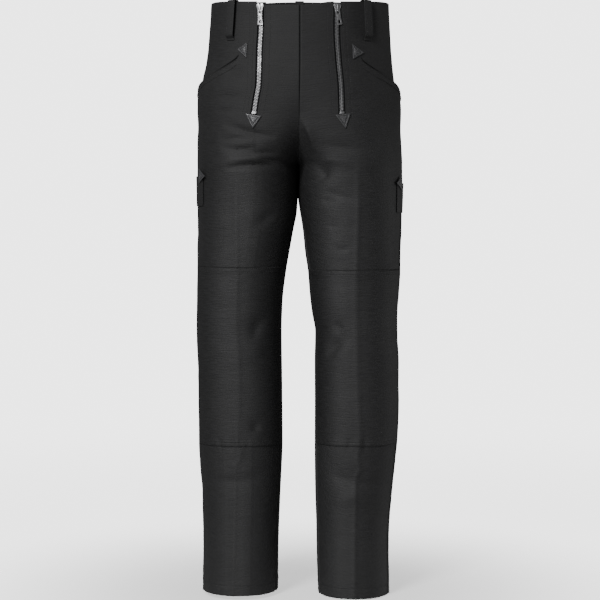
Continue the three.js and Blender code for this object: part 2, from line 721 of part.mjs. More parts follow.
function addZip(side) {
  const edge = waistEdge(turnAt(side, 0, zipLine[side](0)));
  const tapeTop = -BEHIND;
  const chainBottom = tapeTop + SEAM_GAP;
  const chainTop = chainBottom + CHAIN_THICK;
  const tape = zipStrip(side, TAPE_WIDTH, tapeTop, tapeTop - TAPE_WALL,
    edge - TAPE_BELOW_EDGE, ZIP_END - TAPE_PAST_SLOT, 14, 2);
  const chain = zipStrip(side, CHAIN_WIDTH, chainTop, chainBottom,
    edge - CHAIN_BELOW_EDGE, ZIP_END + CHAIN_END, 16, 2);
  const stop = zipStrip(side, CHAIN_WIDTH + STOP.wider, chainTop + STOP.thicker, chainBottom,
    ZIP_END + STOP.top, ZIP_END + STOP.bottom, 1, 2);
  add(`zip_tape_${side}`, tape, 'tape');
  add(`zip_chain_${side}`, chain, 'metal');
  add(`zip_stop_${side}`, stop, 'metal');
}

// The slider's own frame has its origin on the cloth's face, +Z up the chain and -Y outwards.
const SLIDER_Z = 1;           // height of that origin
const SLIDER_SEAT = 0.7;      // the slider's plate lies this far off the cloth's face
const SLIDER_PLATE = 2;
const CROWN_WIDTH = 2;        // the crown is the bridge that the pull tab hangs from
const HINGE = { out: 3.8, up: 0.3 };
const PULL_WALL = 1.2;
const PULL_TILT = 5;          // degrees that a hanging tab leans in towards the cloth
const PULL_LEAN = { left: 9.5, right: 2 };   // degrees that it hangs out of line with the chain

const SLIDER_OUTLINE = table(['x', 'z'], [4.2, -2.5], [4.8, 2], [6.5, 7.5], [6.3, 11],
  [4.2, 13.2], [1.2, 12.2], [0, 10.6]);
const CROWN_OUTLINE = table(['out', 'z'], [2.4, 12.4], [6.1, 10], [6.5, 0.2], [5.4, -2.3],
  [2.4, -2.5], [2.4, -1], [4.9, -0.8], [5, 9.2], [2.4, 10.8]);
const PULL_OUTLINE = table(['x', 'z'], [3, 0.65], [3.9, 0], [4.2, -4], [3.9, -9], [4, -14],
  [4.8, -20], [5.3, -24], [4.6, -25.2]);
const PULL_EYE = table(['x', 'z'], [1.7, -0.75], [2.1, -3], [1.7, -5.2], [0, -5.9]);
const PULL_WINDOW = table(['x', 'z'], [1.9, -17.2], [2.1, -22.6]);

// A closed outline that is the same on both sides of x = 0, from its +X half.
function mirroredOutline(half) {
  const right = half.map(({ x, z }) => new THREE.Vector2(x, z));
  const left = half.filter(({ x }) => x > 0).map(({ x, z }) => new THREE.Vector2(-x, z));
  return [...right.reverse(), ...left];
}

// A plate in the XZ plane, from one distance out of it to another.
function plate(outline, holes, near, far) {
  const shape = new THREE.Shape(outline);
  shape.holes = holes.map((hole) => new THREE.Path(hole));
  const geometry = new THREE.ExtrudeGeometry(shape, { depth: far - near, bevelEnabled: false });
  return geometry.rotateX(Math.PI / 2).translate(0, -near, 0);
}

function zipSlider() {
  const base = plate(mirroredOutline(SLIDER_OUTLINE), [], SLIDER_SEAT,
    SLIDER_SEAT + SLIDER_PLATE);
  const profile = CROWN_OUTLINE.map(({ out, z }) => new THREE.Vector2(out, z));
  const crown = new THREE.ExtrudeGeometry(new THREE.Shape(profile),
    { depth: CROWN_WIDTH, bevelEnabled: false });
  const across = new THREE.Vector3(-1, 0, 0);
  const turned = new THREE.Matrix4().makeBasis(new THREE.Vector3(0, -1, 0),
    new THREE.Vector3(0, 0, 1), across).setPosition(CROWN_WIDTH / 2, 0, 0);
  return joined(base, crown.applyMatrix4(turned));
}

function zipPull() {
  const holes = [mirroredOutline(PULL_EYE), mirroredOutline(PULL_WINDOW)];
  return plate(mirroredOutline(PULL_OUTLINE), holes, -PULL_WALL / 2, PULL_WALL / 2);
}

function sliderFrame(side) {
  const at = (z) => skin(side, z, turnAt(side, z, zipLine[side](z)));
  const up = at(SLIDER_Z + 1).sub(at(SLIDER_Z - 8)).normalize();
  const out = outward(side, SLIDER_Z, turnAt(side, SLIDER_Z, zipLine[side](SLIDER_Z)));
  const inward = out.addScaledVector(up, -out.dot(up)).normalize().negate();
  const across = inward.clone().cross(up);
  return new THREE.Matrix4().makeBasis(across, inward, up).setPosition(at(SLIDER_Z));
}

function addSlider(side) {
  const frame = sliderFrame(side);
  add(`zip_slider_${side}`, zipSlider(), 'metal').applyMatrix4(frame);
  const hang = new THREE.Matrix4().makeTranslation(0, -HINGE.out, HINGE.up);
  const lean = new THREE.Matrix4().makeRotationY(-SIDES[side] * degToRad(PULL_LEAN[side]));
  const tilt = new THREE.Matrix4().makeRotationX(degToRad(PULL_TILT));
  const placed = frame.clone().multiply(hang).multiply(lean).multiply(tilt);
  add(`zip_pull_${side}`, zipPull(), 'metal').applyMatrix4(placed);
}

// ---------------------------------------------------------------- assembly

for (const side of Object.keys(SIDES)) {
  add(`front_${side}`, frontPanel(side), 'cloth');
  add(`back_${side}`, backPanel(side), 'cloth');
  add(`pocket_facing_${side}`, pocketFacing(side), 'cloth');
  add(`knee_patch_${side}`, kneePatch(side), 'cloth');
  add(`ruler_pocket_${side}`, rulerPocket(side), 'cloth');
  add(`leather_ruler_${side}`, rulerLeather(side), 'leather');
  add(`belt_loop_front_${side}`, frontLoop(side), 'cloth');
  add(`belt_loop_side_${side}`, beltLoop(side, degToRad(SIDE_LOOP_TURN)), 'cloth');
  addZip(side);
  addSlider(side);
}
add('waistband_back', backWaistband(), 'cloth');
add('belt_loop_back', beltLoop('left', riseTurn('left', 0)), 'cloth');

for (const [name, { side, corners }] of Object.entries(LEATHER)) {
  const toTurn = (z, distance) => turnAt(side, z, distance);
  add(`leather_${name}`, leatherTriangle(side, corners, toTurn, LEATHER_SEAT), 'leather');
}

export default trousers;
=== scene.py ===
"""Work trousers of heavy black cotton with two front zips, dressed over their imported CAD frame."""

import contextlib
import math

import bmesh
import bpy
import numpy as np
from mathutils import Matrix, Vector, noise


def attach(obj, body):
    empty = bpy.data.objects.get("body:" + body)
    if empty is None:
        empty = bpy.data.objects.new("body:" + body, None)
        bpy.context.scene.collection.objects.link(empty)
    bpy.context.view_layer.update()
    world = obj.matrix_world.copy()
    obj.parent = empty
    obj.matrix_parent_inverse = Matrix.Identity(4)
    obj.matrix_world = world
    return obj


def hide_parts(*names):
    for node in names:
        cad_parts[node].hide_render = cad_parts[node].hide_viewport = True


bl_info = {
    "name": "Work Trousers",
    "version": (1, 0, 0),
    "blender": (4, 5, 0),
    "location": "3D View > Sidebar > Trousers",
    "description": "Sews, trims and lights a pair of heavy cotton work trousers",
    "category": "Object",
}

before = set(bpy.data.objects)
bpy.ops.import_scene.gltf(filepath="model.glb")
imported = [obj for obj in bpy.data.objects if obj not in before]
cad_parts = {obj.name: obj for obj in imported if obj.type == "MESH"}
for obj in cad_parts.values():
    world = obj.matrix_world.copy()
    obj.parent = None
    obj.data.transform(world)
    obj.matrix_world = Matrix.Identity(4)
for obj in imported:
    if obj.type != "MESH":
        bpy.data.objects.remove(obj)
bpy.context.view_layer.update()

MM = 0.001
SIDES = {"left": 1, "right": -1}
BODY = "trousers"

# ---------------------------------------------------------------- the form, in millimetres

CLOTH = 1.3
BAND_WALL = 2.2
SEAM_GAP = 0.3
SEAM_LAP = 0.1      # neighbouring panels meet and lap by this at a seam
SEAM_ROLL, SEAM_SLIT = 1.2, 2    # how deep their edges turn in there, and the seam itself
SEAM_WELT = 1.3     # how proud the felled seam allowance stands
BEHIND = 2.8        # how deep a zip's tape and a pocket's facing lie behind the cloth's face
ROUNDNESS = 2.2
WAIST_SIDE, WAIST_FRONT_DIP, WAIST_BACK_RISE = 26.2, 9.9, 21.4
FLAP_DROP = 6
BAND_HEIGHT = 48
CROTCH = -265
MOUTH_INNER_X = 107
MOUTH_INNER_Z = {"left": -79, "right": -74}
MOUTH_OUTER_Z = {"left": -134, "right": -128}
MOUTH_BOW, MOUTH_CUT = 0.7, 1.9
MOUTH_ACROSS = 0.86    # a distance across the slanted mouth for each step down
LIP_WIDTH, LIP_RISE = 11, 0.9    # the turned hem of the mouth's lower lip
MOUTH_GAPE = {"left": 7, "right": 4.5}
GAPE_BELOW, GAPE_FULL, GAPE_SIDE_FALL = 75, 0.7, 8
FACING_ABOVE, FACING_BELOW = 20, 42
ZIP_SLOT = 12.4
ZIP_END = -180
SLOT_FADE = 150
CHAIN_THICK = 2.6
KNEE_TOP = {"left": -449, "right": -444}
KNEE_BOTTOM = -763
HEM = {"left": -1038.5, "right": -1033}
ROWS = {"to_mouth": 5, "to_crotch": 15, "to_knee": 10, "knee": 9, "to_hem": 7}
MOUTH_COLUMN, SLOT_OUTER, SLOT_INNER, INNER_COLUMN = 4, 6, 7, 11
BACK_COLUMNS, BACK_UPPER_ROWS = 9, 13
CROTCH_ROW_SIDE = -302
LEG_ROWS = ROWS["to_knee"] + ROWS["knee"] + ROWS["to_hem"]
MOUTH_ROW = ROWS["to_mouth"]
CROTCH_ROW = MOUTH_ROW + 1 + ROWS["to_crotch"]
FRONT_ROWS = CROTCH_ROW + LEG_ROWS

# Each leg's reach from the midline: height, outwards, inwards.
LEG = {
    "left": [(25, 160, -160), (-23, 162.5, -158), (-72, 165.5, -146), (-109, 170, -122),
             (-135, 175, -102), (-170, 180, -76), (-200, 182.5, -54), (-235, 185, -22),
             (-250, 186, -9), (CROTCH, 186.5, -0.2), (-303, 187.8, -0.1), (-327, 187.8, 1.9),
             (-345, 187.5, 4.5), (-382, 187, 10), (-418, 186, 13.6), (-455, 185.5, 19),
             (-491, 183.4, 21.8), (-527, 180.8, 26), (-564, 180.7, 32), (-618, 184, 31),
             (-691, 184.2, 31.4), (-764, 181.7, 31.2), (-800, 178, 31.4), (-855, 172.7, 32.2),
             (-910, 168, 34), (-964, 167, 35), (-1037, 168, 37.5)],
    "right": [(25, 160, -160), (-23, 163, -158), (-72, 168, -146), (-109, 175.5, -122),
              (-135, 180, -102), (-170, 183, -76), (-200, 183, -54), (-235, 182.7, -22),
              (-250, 182.6, -9), (CROTCH, 182, -0.2), (-303, 181, -0.1), (-327, 180.4, 1),
              (-345, 180, 1.6), (-382, 179.5, 8), (-418, 181, 14.5), (-455, 181.2, 20.8),
              (-509, 182, 27), (-560, 182.3, 28.6), (-655, 179.9, 27.7), (-764, 179.7, 27),
              (-800, 178, 28.3), (-855, 173.8, 31), (-946, 172.5, 34.5), (-1037, 173.7, 35.7)],
}

# Height, front, back and the sideways place of the line between the legs.
TORSO = [(25, -115, 118, 0), (-23, -118, 121, 0), (-72, -122, 128, 0), (-130, -125, 137, -0.5),
         (-190, -124, 141, -1), (-240, -119, 134, -2), (-309, -110, 112, -3.8),
         (-380, -104, 97, -4.5), (-455, -99, 84, -4.5), (-560, -93, 73, -4.5),
         (-655, -88, 73, -4.5), (-764, -81, 76, -4.5), (-855, -76, 78, -4.5),
         (-1037, -73, 78, -4.5)]

# Height and the seams' places in degrees round a leg.
SEAMS = [(25, 2, 180), (-120, 5, 180), (-190, 0, 180), (CROTCH, -7, 180), (-309, -10, 174),
         (-380, -14, 166), (-455, -17, 162), (-1037, -19, 160)]

# Height and distance from the centre front.
ZIP_LINE = {
    "left": [(10, 64.5), (-32, 64.2), (-85, 67.2), (-134, 71.6), (-180, 73)],
    "right": [(10, 68.9), (-27, 68.2), (-67, 70.3), (-102, 70.9), (-128, 71.8), (-146, 75),
              (-180, 80.5)],
}


class Curve:
    """A smooth curve through a table's column, with no overshoot between its rows."""

    def __init__(self, rows, column):
        table = np.array(rows, float)
        self.z, self.value = table[:, 0], table[:, column]
        slope = np.diff(self.value) / np.diff(self.z)
        before = np.concatenate([slope[:1], slope])
        after = np.concatenate([slope, slope[-1:]])
        alike = before * after > 0
        total = np.where(alike, before + after, 1)
        self.tangent = np.where(alike, 2 * before * after / total, 0)

    def __call__(self, height):
        h = np.clip(height, self.z[-1], self.z[0])
        after = np.clip(np.searchsorted(-self.z, -h), 1, len(self.z) - 1)
        before = after - 1
        span = self.z[after] - self.z[before]
        t = (h - self.z[before]) / span
        start = self.value[before] * (1 + 2 * t) + self.tangent[before] * span * t
        end = self.value[after] * (3 - 2 * t) - self.tangent[after] * span * (1 - t)
        return start * (1 - t) ** 2 + end * t**2


outer_reach = {side: Curve(LEG[side], 1) for side in SIDES}
inner_reach = {side: Curve(LEG[side], 2) for side in SIDES}
front_line, back_line, midline = (Curve(TORSO, column) for column in (1, 2, 3))
side_seam, inseam = Curve(SEAMS, 1), Curve(SEAMS, 2)
zip_line = {side: Curve(ZIP_LINE[side], 1) for side in SIDES}


def lerp(start, end, share):
    return start + (end - start) * share


def ease(value, low, high):
    """Rises smoothly from 0 at low to 1 at high."""
    t = np.clip((value - low) / (high - low), 0, 1)
    return t * t * (3 - 2 * t)


def power(value, exponent):
    return np.sign(value) * np.abs(value) ** exponent


def stack(*values):
    return np.stack(np.broadcast_arrays(*values), axis=-1).astype(float)


def unit(vectors):
    return vectors / np.linalg.norm(vectors, axis=-1, keepdims=True)


def travelled_along(points):
    """The distance from a path's start to each of its points."""
    return np.concatenate([[0], np.cumsum(np.linalg.norm(np.diff(points, axis=0), axis=1))])


def read_along(travelled, values, at):
    """A path's values at a distance from its start."""
    return np.stack([np.interp(at, travelled, column) for column in values.T], axis=-1)


def section(side, z):
    outer, inner = outer_reach[side](z), inner_reach[side](z)
    return (outer + inner) / 2, (outer - inner) / 2


def form(side, z, turn):
    """Points of the smooth form. The turn is 0 at a leg's outermost line, negative in front."""
    axis, reach = section(side, z)
    front, back = front_line(z), back_line(z)
    across = axis + reach * power(np.cos(turn), 2 / ROUNDNESS)
    along = (front + back) / 2 + (back - front) / 2 * power(np.sin(turn), 2 / ROUNDNESS)
    return stack(midline(z) + SIDES[side] * across, along, z)


def outward(side, z, turn):
    turn_step, z_step = 0.02, 4
    around = form(side, z, turn + turn_step) - form(side, z, turn - turn_step)
    upwards = form(side, z + z_step, turn) - form(side, z - z_step, turn)
    return unit(np.cross(around, upwards) * SIDES[side])


def turn_at(side, z, distance):
    """The turn at which a section's front passes a distance from the centre front."""
    axis, reach = section(side, z)
    share = (distance - SIDES[side] * midline(z) - axis) / reach
    return -np.arccos(np.clip(power(share, ROUNDNESS / 2), -1, 1))


def rise_turn(side, z):
    axis, reach = section(side, z)
    return np.arccos(np.clip(power((-SEAM_LAP / 2 - axis) / reach, ROUNDNESS / 2), -1, 1))


def turn_beside(side, z, turn, distance):
    """The turn that lies a distance further round at the same height."""
    step = 0.05
    apart = form(side, z, turn + step) - form(side, z, turn - step)
    return turn + distance * 2 * step / np.linalg.norm(apart, axis=-1)


def waist_edge(turn):
    change = np.where(np.sin(turn) > 0, WAIST_BACK_RISE, -WAIST_FRONT_DIP)
    return WAIST_SIDE + change * np.sin(turn) ** 2


def front_edge(side, turn, column):
    """The top of a front panel. The flap between the zips hangs lower towards the right zip."""
    inward = ease(column, SLOT_INNER, INNER_COLUMN)
    drop = FLAP_DROP * (inward if side == "left" else 1)
    return waist_edge(turn) - np.where(column >= SLOT_INNER, drop, 0)


# ---------------------------------------------------------------- folds

# The pressed crease down each leg: height and distance from the centre.
CREASE = {
    "left": [(-240, 100), (-328, 101.7), (-505, 98.5), (-576, 100.4), (-646, 101.7), (-750, 106),
             (-786, 102.6), (-803, 106.1), (-821, 99), (-857, 98.4), (-1037, 97.4)],
    "right": [(-240, 113), (-311, 112.3), (-452, 111.6), (-541, 113.5), (-646, 109.5),
              (-750, 111.4), (-768, 107), (-786, 108), (-797, 115), (-857, 116), (-1037, 120.3)],
}
CREASE_HEIGHT, CREASE_SPREAD, CREASE_SHARP = 2.1, 4.8, 1.2
FLAP_RIDGE_HEIGHT, FLAP_RIDGE_SPREAD = 5, 38
LEGS_FACING = (0.3, 0.9)    # folds fade out where the legs face each other
crease_line = {side: Curve(CREASE[side], 1) for side in SIDES}


def pressed_crease(side, points):
    """The lift of the crease pressed into the front and the back of a leg."""
    away = points[..., 0] - SIDES[side] * crease_line[side](points[..., 2])
    lift = CREASE_HEIGHT * np.exp(-np.sqrt(away**2 + CREASE_SHARP**2) / CREASE_SPREAD)
    return lift * ease(-points[..., 2], 235, 350)


def flap_ridge(points):
    """The lift of the front towards the centre seam, which makes two flat halves of it."""
    lift = FLAP_RIDGE_HEIGHT * np.exp(-np.abs(points[..., 0]) / FLAP_RIDGE_SPREAD)
    return np.where(points[..., 1] < 0, lift, 0) * ease(points[..., 2], -235, -150)


# Each fold runs from (x0, z0) to (x1, z1) in the front view, bowed sideways. A negative depth
# is a ridge. One side of it is steeper than the other by the skew.
FRONT_FOLDS = [
    (-124, -197, -49, -217, -3, 5.6, 6, 0.3), (-134, -221, -75, -222, 2, 3, 5, 0.2),
    (-129, -237, -77, -235, -3, 4.6, 5, 0.3), (-117, -249, -42, -246, 2, 5, 5, 0.3),
    (-126, -263, -44, -259, 5, -3.5, 9, 0), (-123, -270, -22, -272, 5, 6.5, 7, 0.3),
    (-62, -255, 0, -267, 0, 6, 5, 0.3), (-150, -148, -98, -147, 0, 3.6, 7, 0.2),
    (-131, -102, -98, -102, 0, 2.2, 5, 0.2), (-146, -170, -108, -172, 0, 1.8, 6, 0.2),
    (4, -188, 24, -240, 4, -6, 7, 0), (3, -218, 8, -263, 0, 3.5, 6, 0),
    (18, -266, 78, -263, 6, -3, 8, 0), (10, -297, 49, -278, -3, 6.5, 8, 0.3),
    (26, -262, 46, -286, 0, 5, 8, 0.3),
    (49, -233, 115, -240, 0, 2.4, 8, 0.2), (78, -153, 115, -153, 0, 1.5, 8, 0.2),
    (38, -310, 96, -327, 0, 2.5, 8, 0.2), (37, -328, 59, -328, 0, 2.5, 6, 0.2),
    (-75, -372, -33, -345, 3, 3, 10, 0.2), (63, -411, 86, -411, -2, 2, 5, 0.2),
    (49, -372, 63, -372, 0, 1.6, 6, 0.2), (41, -611, 76, -574, 4, 6.5, 12, 0.3),
    (60, -540, 72, -560, 0, 3, 12, 0), (-83, -569, -60, -532, 3, 3.5, 12, 0.2),
    (-85, -735, -72, -722, 0, 3, 9, 0.2), (-45, -812, -150, -826, 5, 2.6, 13, 0.2),
    (50, -812, 150, -832, -4, 3, 13, 0.2), (60, -868, 120, -850, 3, -2.4, 16, 0),
    (-143, -748, -140, -768, 0, 1.3, 4, 0), (-119, -750, -121, -770, 0, 1.5, 4, 0),
    (-105, -748, -106, -768, 0, 1.2, 4, 0), (-95, -750, -93, -772, 0, 1.4, 4, 0),
    (88, -750, 87, -772, 0, 1.5, 4, 0), (114, -748, 115, -770, 0, 1.4, 4, 0),
    (143, -748, 141, -768, 0, 1.3, 4, 0),
]
BACK_FOLDS = [
    (-8, -262, -96, -226, 6, 3.6, 12, 0.3), (8, -264, 90, -232, 5, 3.6, 12, 0.3),
    (-14, -292, -120, -276, 6, 3.2, 13, 0.3), (14, -296, 116, -270, 8, 3.2, 13, 0.3),
    (-30, -330, -140, -322, -4, 2.4, 15, 0.2), (28, -338, 132, -318, -5, 2.4, 15, 0.2),
    (-50, -530, -160, -520, 6, 3, 16, 0.2), (48, -536, 158, -516, 5, 3, 16, 0.2),
    (-56, -572, -150, -580, -5, 3, 16, 0.2), (52, -566, 150, -584, -6, 3, 16, 0.2),
    (-60, -610, -140, -616, 3, 2.4, 18, 0.2), (56, -614, 136, -606, 4, 2.4, 18, 0.2),
    (-60, -850, -150, -838, 5, 2.4, 18, 0.2), (52, -846, 148, -858, 4, 2.4, 18, 0.2),
]


def fold_relief(points, folds):
    """How far the folds lift points off the smooth form."""
    place = points[..., [0, 2]]
    relief = np.zeros(place.shape[:-1])
    for x0, z0, x1, z1, bow, depth, width, skew in folds:
        start, run = np.array([x0, z0]), np.array([x1 - x0, z1 - z0], float)
        length = np.hypot(*run)
        aside = np.array([-run[1], run[0]]) / length
        t = np.clip((place - start) @ run / length**2, 0, 1)
        away = place - start - t[..., None] * run - (bow * 4 * t * (1 - t))[..., None] * aside
        offset = away @ aside
        reach = np.linalg.norm(away, axis=-1) / (width * (1 + skew * np.tanh(offset / width)))
        relief -= depth * (0.35 + 0.65 * np.sin(np.pi * t)) * np.exp(-(reach**1.5))
    return relief


def unevenness(points):
    """The slight waviness of worn heavy cloth, drawn out sideways."""
    flat = points.reshape(-1, 3)
    lifts = np.empty(len(flat))
    for i, (x, y, z) in enumerate(flat):
        broad = noise.noise(Vector((x / 75, y / 75, z / 38)))
        fine = noise.noise(Vector((x / 34 + 9, y / 34, z / 13)))
        lifts[i] = 0.55 * broad + 0.28 * fine
    return lifts.reshape(points.shape[:-1])


def skin(side, z, turn, lift=0.0, wavy=True):
    """Points of the garment's face, lifted off it by a distance, and the way out there."""
    points, out = form(side, z, turn), outward(side, z, turn)
    in_front = ease(-np.sin(turn), -0.02, 0.02)
    relief = lerp(fold_relief(points, BACK_FOLDS), fold_relief(points, FRONT_FOLDS), in_front)
    if wavy:
        relief = relief + unevenness(points)
    facing = ease(-SIDES[side] * out[..., 0], *LEGS_FACING)
    relief = relief * (1 - facing) + pressed_crease(side, points)
    ridge = stack(0, -flap_ridge(points), 0)
    return points + ridge + out * (relief + lift)[..., None], out


def waist_at_zip(side, across=0.0):
    return float(waist_edge(turn_at(side, 0.0, zip_line[side](0.0) + across)))


def on_zip(side, z, across=0.0, lift=0.0):
    """Points on the line of a zip, and the way out there. Across is towards the side seam."""
    return skin(side, z, turn_at(side, z, zip_line[side](z) + across), lift)


# ---------------------------------------------------------------- rows and columns of panels


def rise_heights(side, start, direction):
    """Heights down the rise seam to the crotch, evenly spaced along the seam."""
    share = np.linspace(0, 1, 241)
    z = lerp(CROTCH, start, (1 - share) ** 2)
    points = form(side, z, direction * rise_turn(side, z))
    travelled = travelled_along(points)
    return lambda goal: np.interp(np.asarray(goal) * travelled[-1], travelled, z)


def leg_height(side, row, share):
    start = lerp(CROTCH_ROW_SIDE, CROTCH, share**1.5)
    upper = lerp(start, KNEE_TOP[side], row / ROWS["to_knee"])
    below = row - ROWS["to_knee"]
    knee = lerp(KNEE_TOP[side], KNEE_BOTTOM, below / ROWS["knee"])
    lower = lerp(KNEE_BOTTOM, HEM[side], (below - ROWS["knee"]) / ROWS["to_hem"])
    return np.where(below <= 0, upper, np.where(below <= ROWS["knee"], knee, lower))


def mouth_height(side, column):
    share = np.clip(1 - column / MOUTH_COLUMN, 0, 1)
    return lerp(MOUTH_INNER_Z[side], MOUTH_OUTER_Z[side], share**MOUTH_BOW)


front_rise = {side: rise_heights(side, MOUTH_INNER_Z[side] - MOUTH_CUT, -1) for side in SIDES}
BACK_TOP = WAIST_SIDE + WAIST_BACK_RISE - BAND_HEIGHT - SEAM_GAP
back_rise = {side: rise_heights(side, BACK_TOP, 1) for side in SIDES}


def front_turn(side, z, column):
    start = turn_beside(side, z, np.radians(side_seam(z)), SEAM_LAP)
    seam = -np.minimum(rise_turn(side, z), np.radians(inseam(z)))
    end = np.where(z < CROTCH, turn_beside(side, z, seam, -SEAM_LAP), seam)
    zip_at = zip_line[side](z)
    turns = [start, turn_at(side, z, MOUTH_INNER_X), turn_at(side, z, zip_at + ZIP_SLOT / 2),
             turn_at(side, z, zip_at - ZIP_SLOT / 2), end]
    places = [0, MOUTH_COLUMN, SLOT_OUTER, SLOT_INNER, INNER_COLUMN]
    placed = turns[0]
    for i in range(4):
        share = np.clip((column - places[i]) / (places[i + 1] - places[i]), 0, 1)
        placed = np.where(column > places[i], lerp(turns[i], turns[i + 1], share), placed)
    even = lerp(start, end, column / INNER_COLUMN)
    return lerp(even, placed, ease(z, ZIP_END - SLOT_FADE, ZIP_END))


def front_height(side, row, column):
    mouth = mouth_height(side, column)
    top = front_edge(side, front_turn(side, np.zeros_like(mouth), column), column)
    above = lerp(top, mouth, row / MOUTH_ROW)
    share = np.clip((row - MOUTH_ROW - 1) / ROWS["to_crotch"], 0, 1)
    crotch_row = leg_height(side, np.zeros_like(row), column / INNER_COLUMN)
    straight = lerp(mouth - MOUTH_CUT, crotch_row, share)
    weight = np.clip((column - SLOT_OUTER) / (INNER_COLUMN - SLOT_OUTER), 0, 1) ** 2
    between = lerp(straight, front_rise[side](share), weight)
    cut = lerp(mouth, between, np.clip(row - MOUTH_ROW, 0, 1))
    leg = leg_height(side, row - CROTCH_ROW, column / INNER_COLUMN)
    upper = np.where(row <= MOUTH_ROW, above, np.where(row < MOUTH_ROW + 1, cut, between))
    return np.where(row >= CROTCH_ROW, leg, upper)


def mouth_gape(side, row, column, z):
    """How far the lower lip of the pocket mouth stands off, most near the side seam."""
    share = 1 - column / MOUTH_COLUMN
    falling = 1 - ease(mouth_height(side, column) - z, 0, GAPE_BELOW)
    gape = MOUTH_GAPE[side] * ease(share, 0, GAPE_FULL) * falling
    return np.where((row > MOUTH_ROW) & (column < MOUTH_COLUMN), gape, 0)


def mouth_lip(side, row, column, z):
    below = mouth_height(side, column) - MOUTH_CUT - z
    rise = LIP_RISE * (1 - ease(below, LIP_WIDTH - 2, LIP_WIDTH)) * ease(column, 4.1, 3.6)
    return np.where(row > MOUTH_ROW, rise, 0)


def front_point(side, row, column, lift=0.0):
    z = front_height(side, row, column)
    lip = mouth_lip(side, row, column, z)
    gape = mouth_gape(side, row, column, z)
    return skin(side, z, front_turn(side, z, column), lift + gape + lip)


def back_turn(side, z, column):
    start = turn_beside(side, z, np.radians(side_seam(z)), -SEAM_LAP)
    seam = np.minimum(rise_turn(side, z), np.radians(inseam(z)))
    past = np.where(z < CROTCH, 2 * np.pi - np.radians(inseam(z)), seam)
    end = np.where(z < CROTCH, turn_beside(side, z, past, SEAM_LAP), past)
    return lerp(start, end, column / BACK_COLUMNS)


def back_gape(side, z, column):
    start = MOUTH_OUTER_Z[side]
    rising = ease(start - z, -GAPE_SIDE_FALL, GAPE_SIDE_FALL)
    falling = 1 - ease(start - z, 0, GAPE_BELOW)
    return MOUTH_GAPE[side] * (1 - ease(column, 0, 2)) * rising * falling


def back_point(side, row, column, lift=0.0):
    share = column / BACK_COLUMNS
    above = np.minimum(row / BACK_UPPER_ROWS, 1)
    top = waist_edge(back_turn(side, np.zeros_like(share), column)) - BAND_HEIGHT - SEAM_GAP
    straight = lerp(top, leg_height(side, np.zeros_like(share), share), above)
    bend = back_rise[side](above) - lerp(BACK_TOP, CROTCH, above)
    upper = straight + bend * share**4
    z = np.where(row < BACK_UPPER_ROWS, upper, leg_height(side, row - BACK_UPPER_ROWS, share))
    return skin(side, z, back_turn(side, z, column), lift + back_gape(side, z, column))


def lattice(rows, columns):
    """The row and the column of every point of a grid."""
    return np.meshgrid(rows, columns, indexing="ij")


def steps(*stops):
    """Evenly divided stretches: pairs of a stop and the number of steps up to it."""
    values = [np.array([float(stops[0])])]
    for goal, count in stops[1:]:
        values.append(np.linspace(values[-1][-1], goal, count + 1)[1:])
    return np.concatenate(values)


def edged(values, *extra):
    """The values with further ones beside both ends."""
    more = [values[0] + step for step in extra] + [values[-1] - step for step in extra]
    return np.unique(np.concatenate([values, more]))


def across_panel(points):
    """Distances of a panel's points from its first and its last column."""
    step = np.linalg.norm(np.diff(points, axis=1), axis=2)
    first = np.concatenate([np.zeros((len(points), 1)), np.cumsum(step, axis=1)], axis=1)
    return first, first[:, -1:] - first


def sewn_edges(side, points, out, welted=0.0):
    """Turns a panel's edges in where it is sewn on, and brings its rise to the midline."""
    first, last = across_panel(points)
    near = np.minimum(first, last)
    roll = SEAM_ROLL * np.exp(-(near / 1.6) ** 2) + SEAM_SLIT * np.exp(-(near / 0.55) ** 2)
    welt = SEAM_WELT * welted * (ease(near, 0.4, 2.4) - ease(near, 6, 9))
    points = points + out * (welt - roll)[..., None]
    rise = points[:, -1, 2] >= CROTCH - 0.5
    goal = midline(points[:, -1, 2]) - SIDES[side] * SEAM_LAP / 2
    off = np.where(rise, goal - points[:, -1, 0], 0)
    points[..., 0] += off[:, None] * np.exp(-(last / 9) ** 2)
    return points


# ---------------------------------------------------------------- settings


class TrousersCloth(bpy.types.PropertyGroup):
    """The heavy cotton and its sewing."""

    colour: bpy.props.FloatVectorProperty(
        name="Colour", description="Colour of the cotton", subtype="COLOR", size=4,
        min=0, max=1, default=(0.009, 0.009, 0.0094, 1))
    thread_colour: bpy.props.FloatVectorProperty(
        name="Thread colour", description="Colour of the sewing thread", subtype="COLOR",
        size=4, min=0, max=1, default=(0.008, 0.008, 0.0084, 1))
    roughness: bpy.props.FloatProperty(
        name="Roughness", description="Roughness of the cotton's satin face",
        subtype="FACTOR", min=0, max=1, default=0.6)
    weave: bpy.props.FloatProperty(
        name="Weave pitch", description="Distance between the ribs of the weave",
        subtype="DISTANCE", unit="LENGTH", default=0.0009)
    stitch: bpy.props.FloatProperty(
        name="Stitch length", description="Distance from one stitch to the next",
        subtype="DISTANCE", unit="LENGTH", default=0.0034)
    thread: bpy.props.FloatProperty(
        name="Thread", description="Thickness of the sewing thread",
        subtype="DISTANCE", unit="LENGTH", default=0.0006)


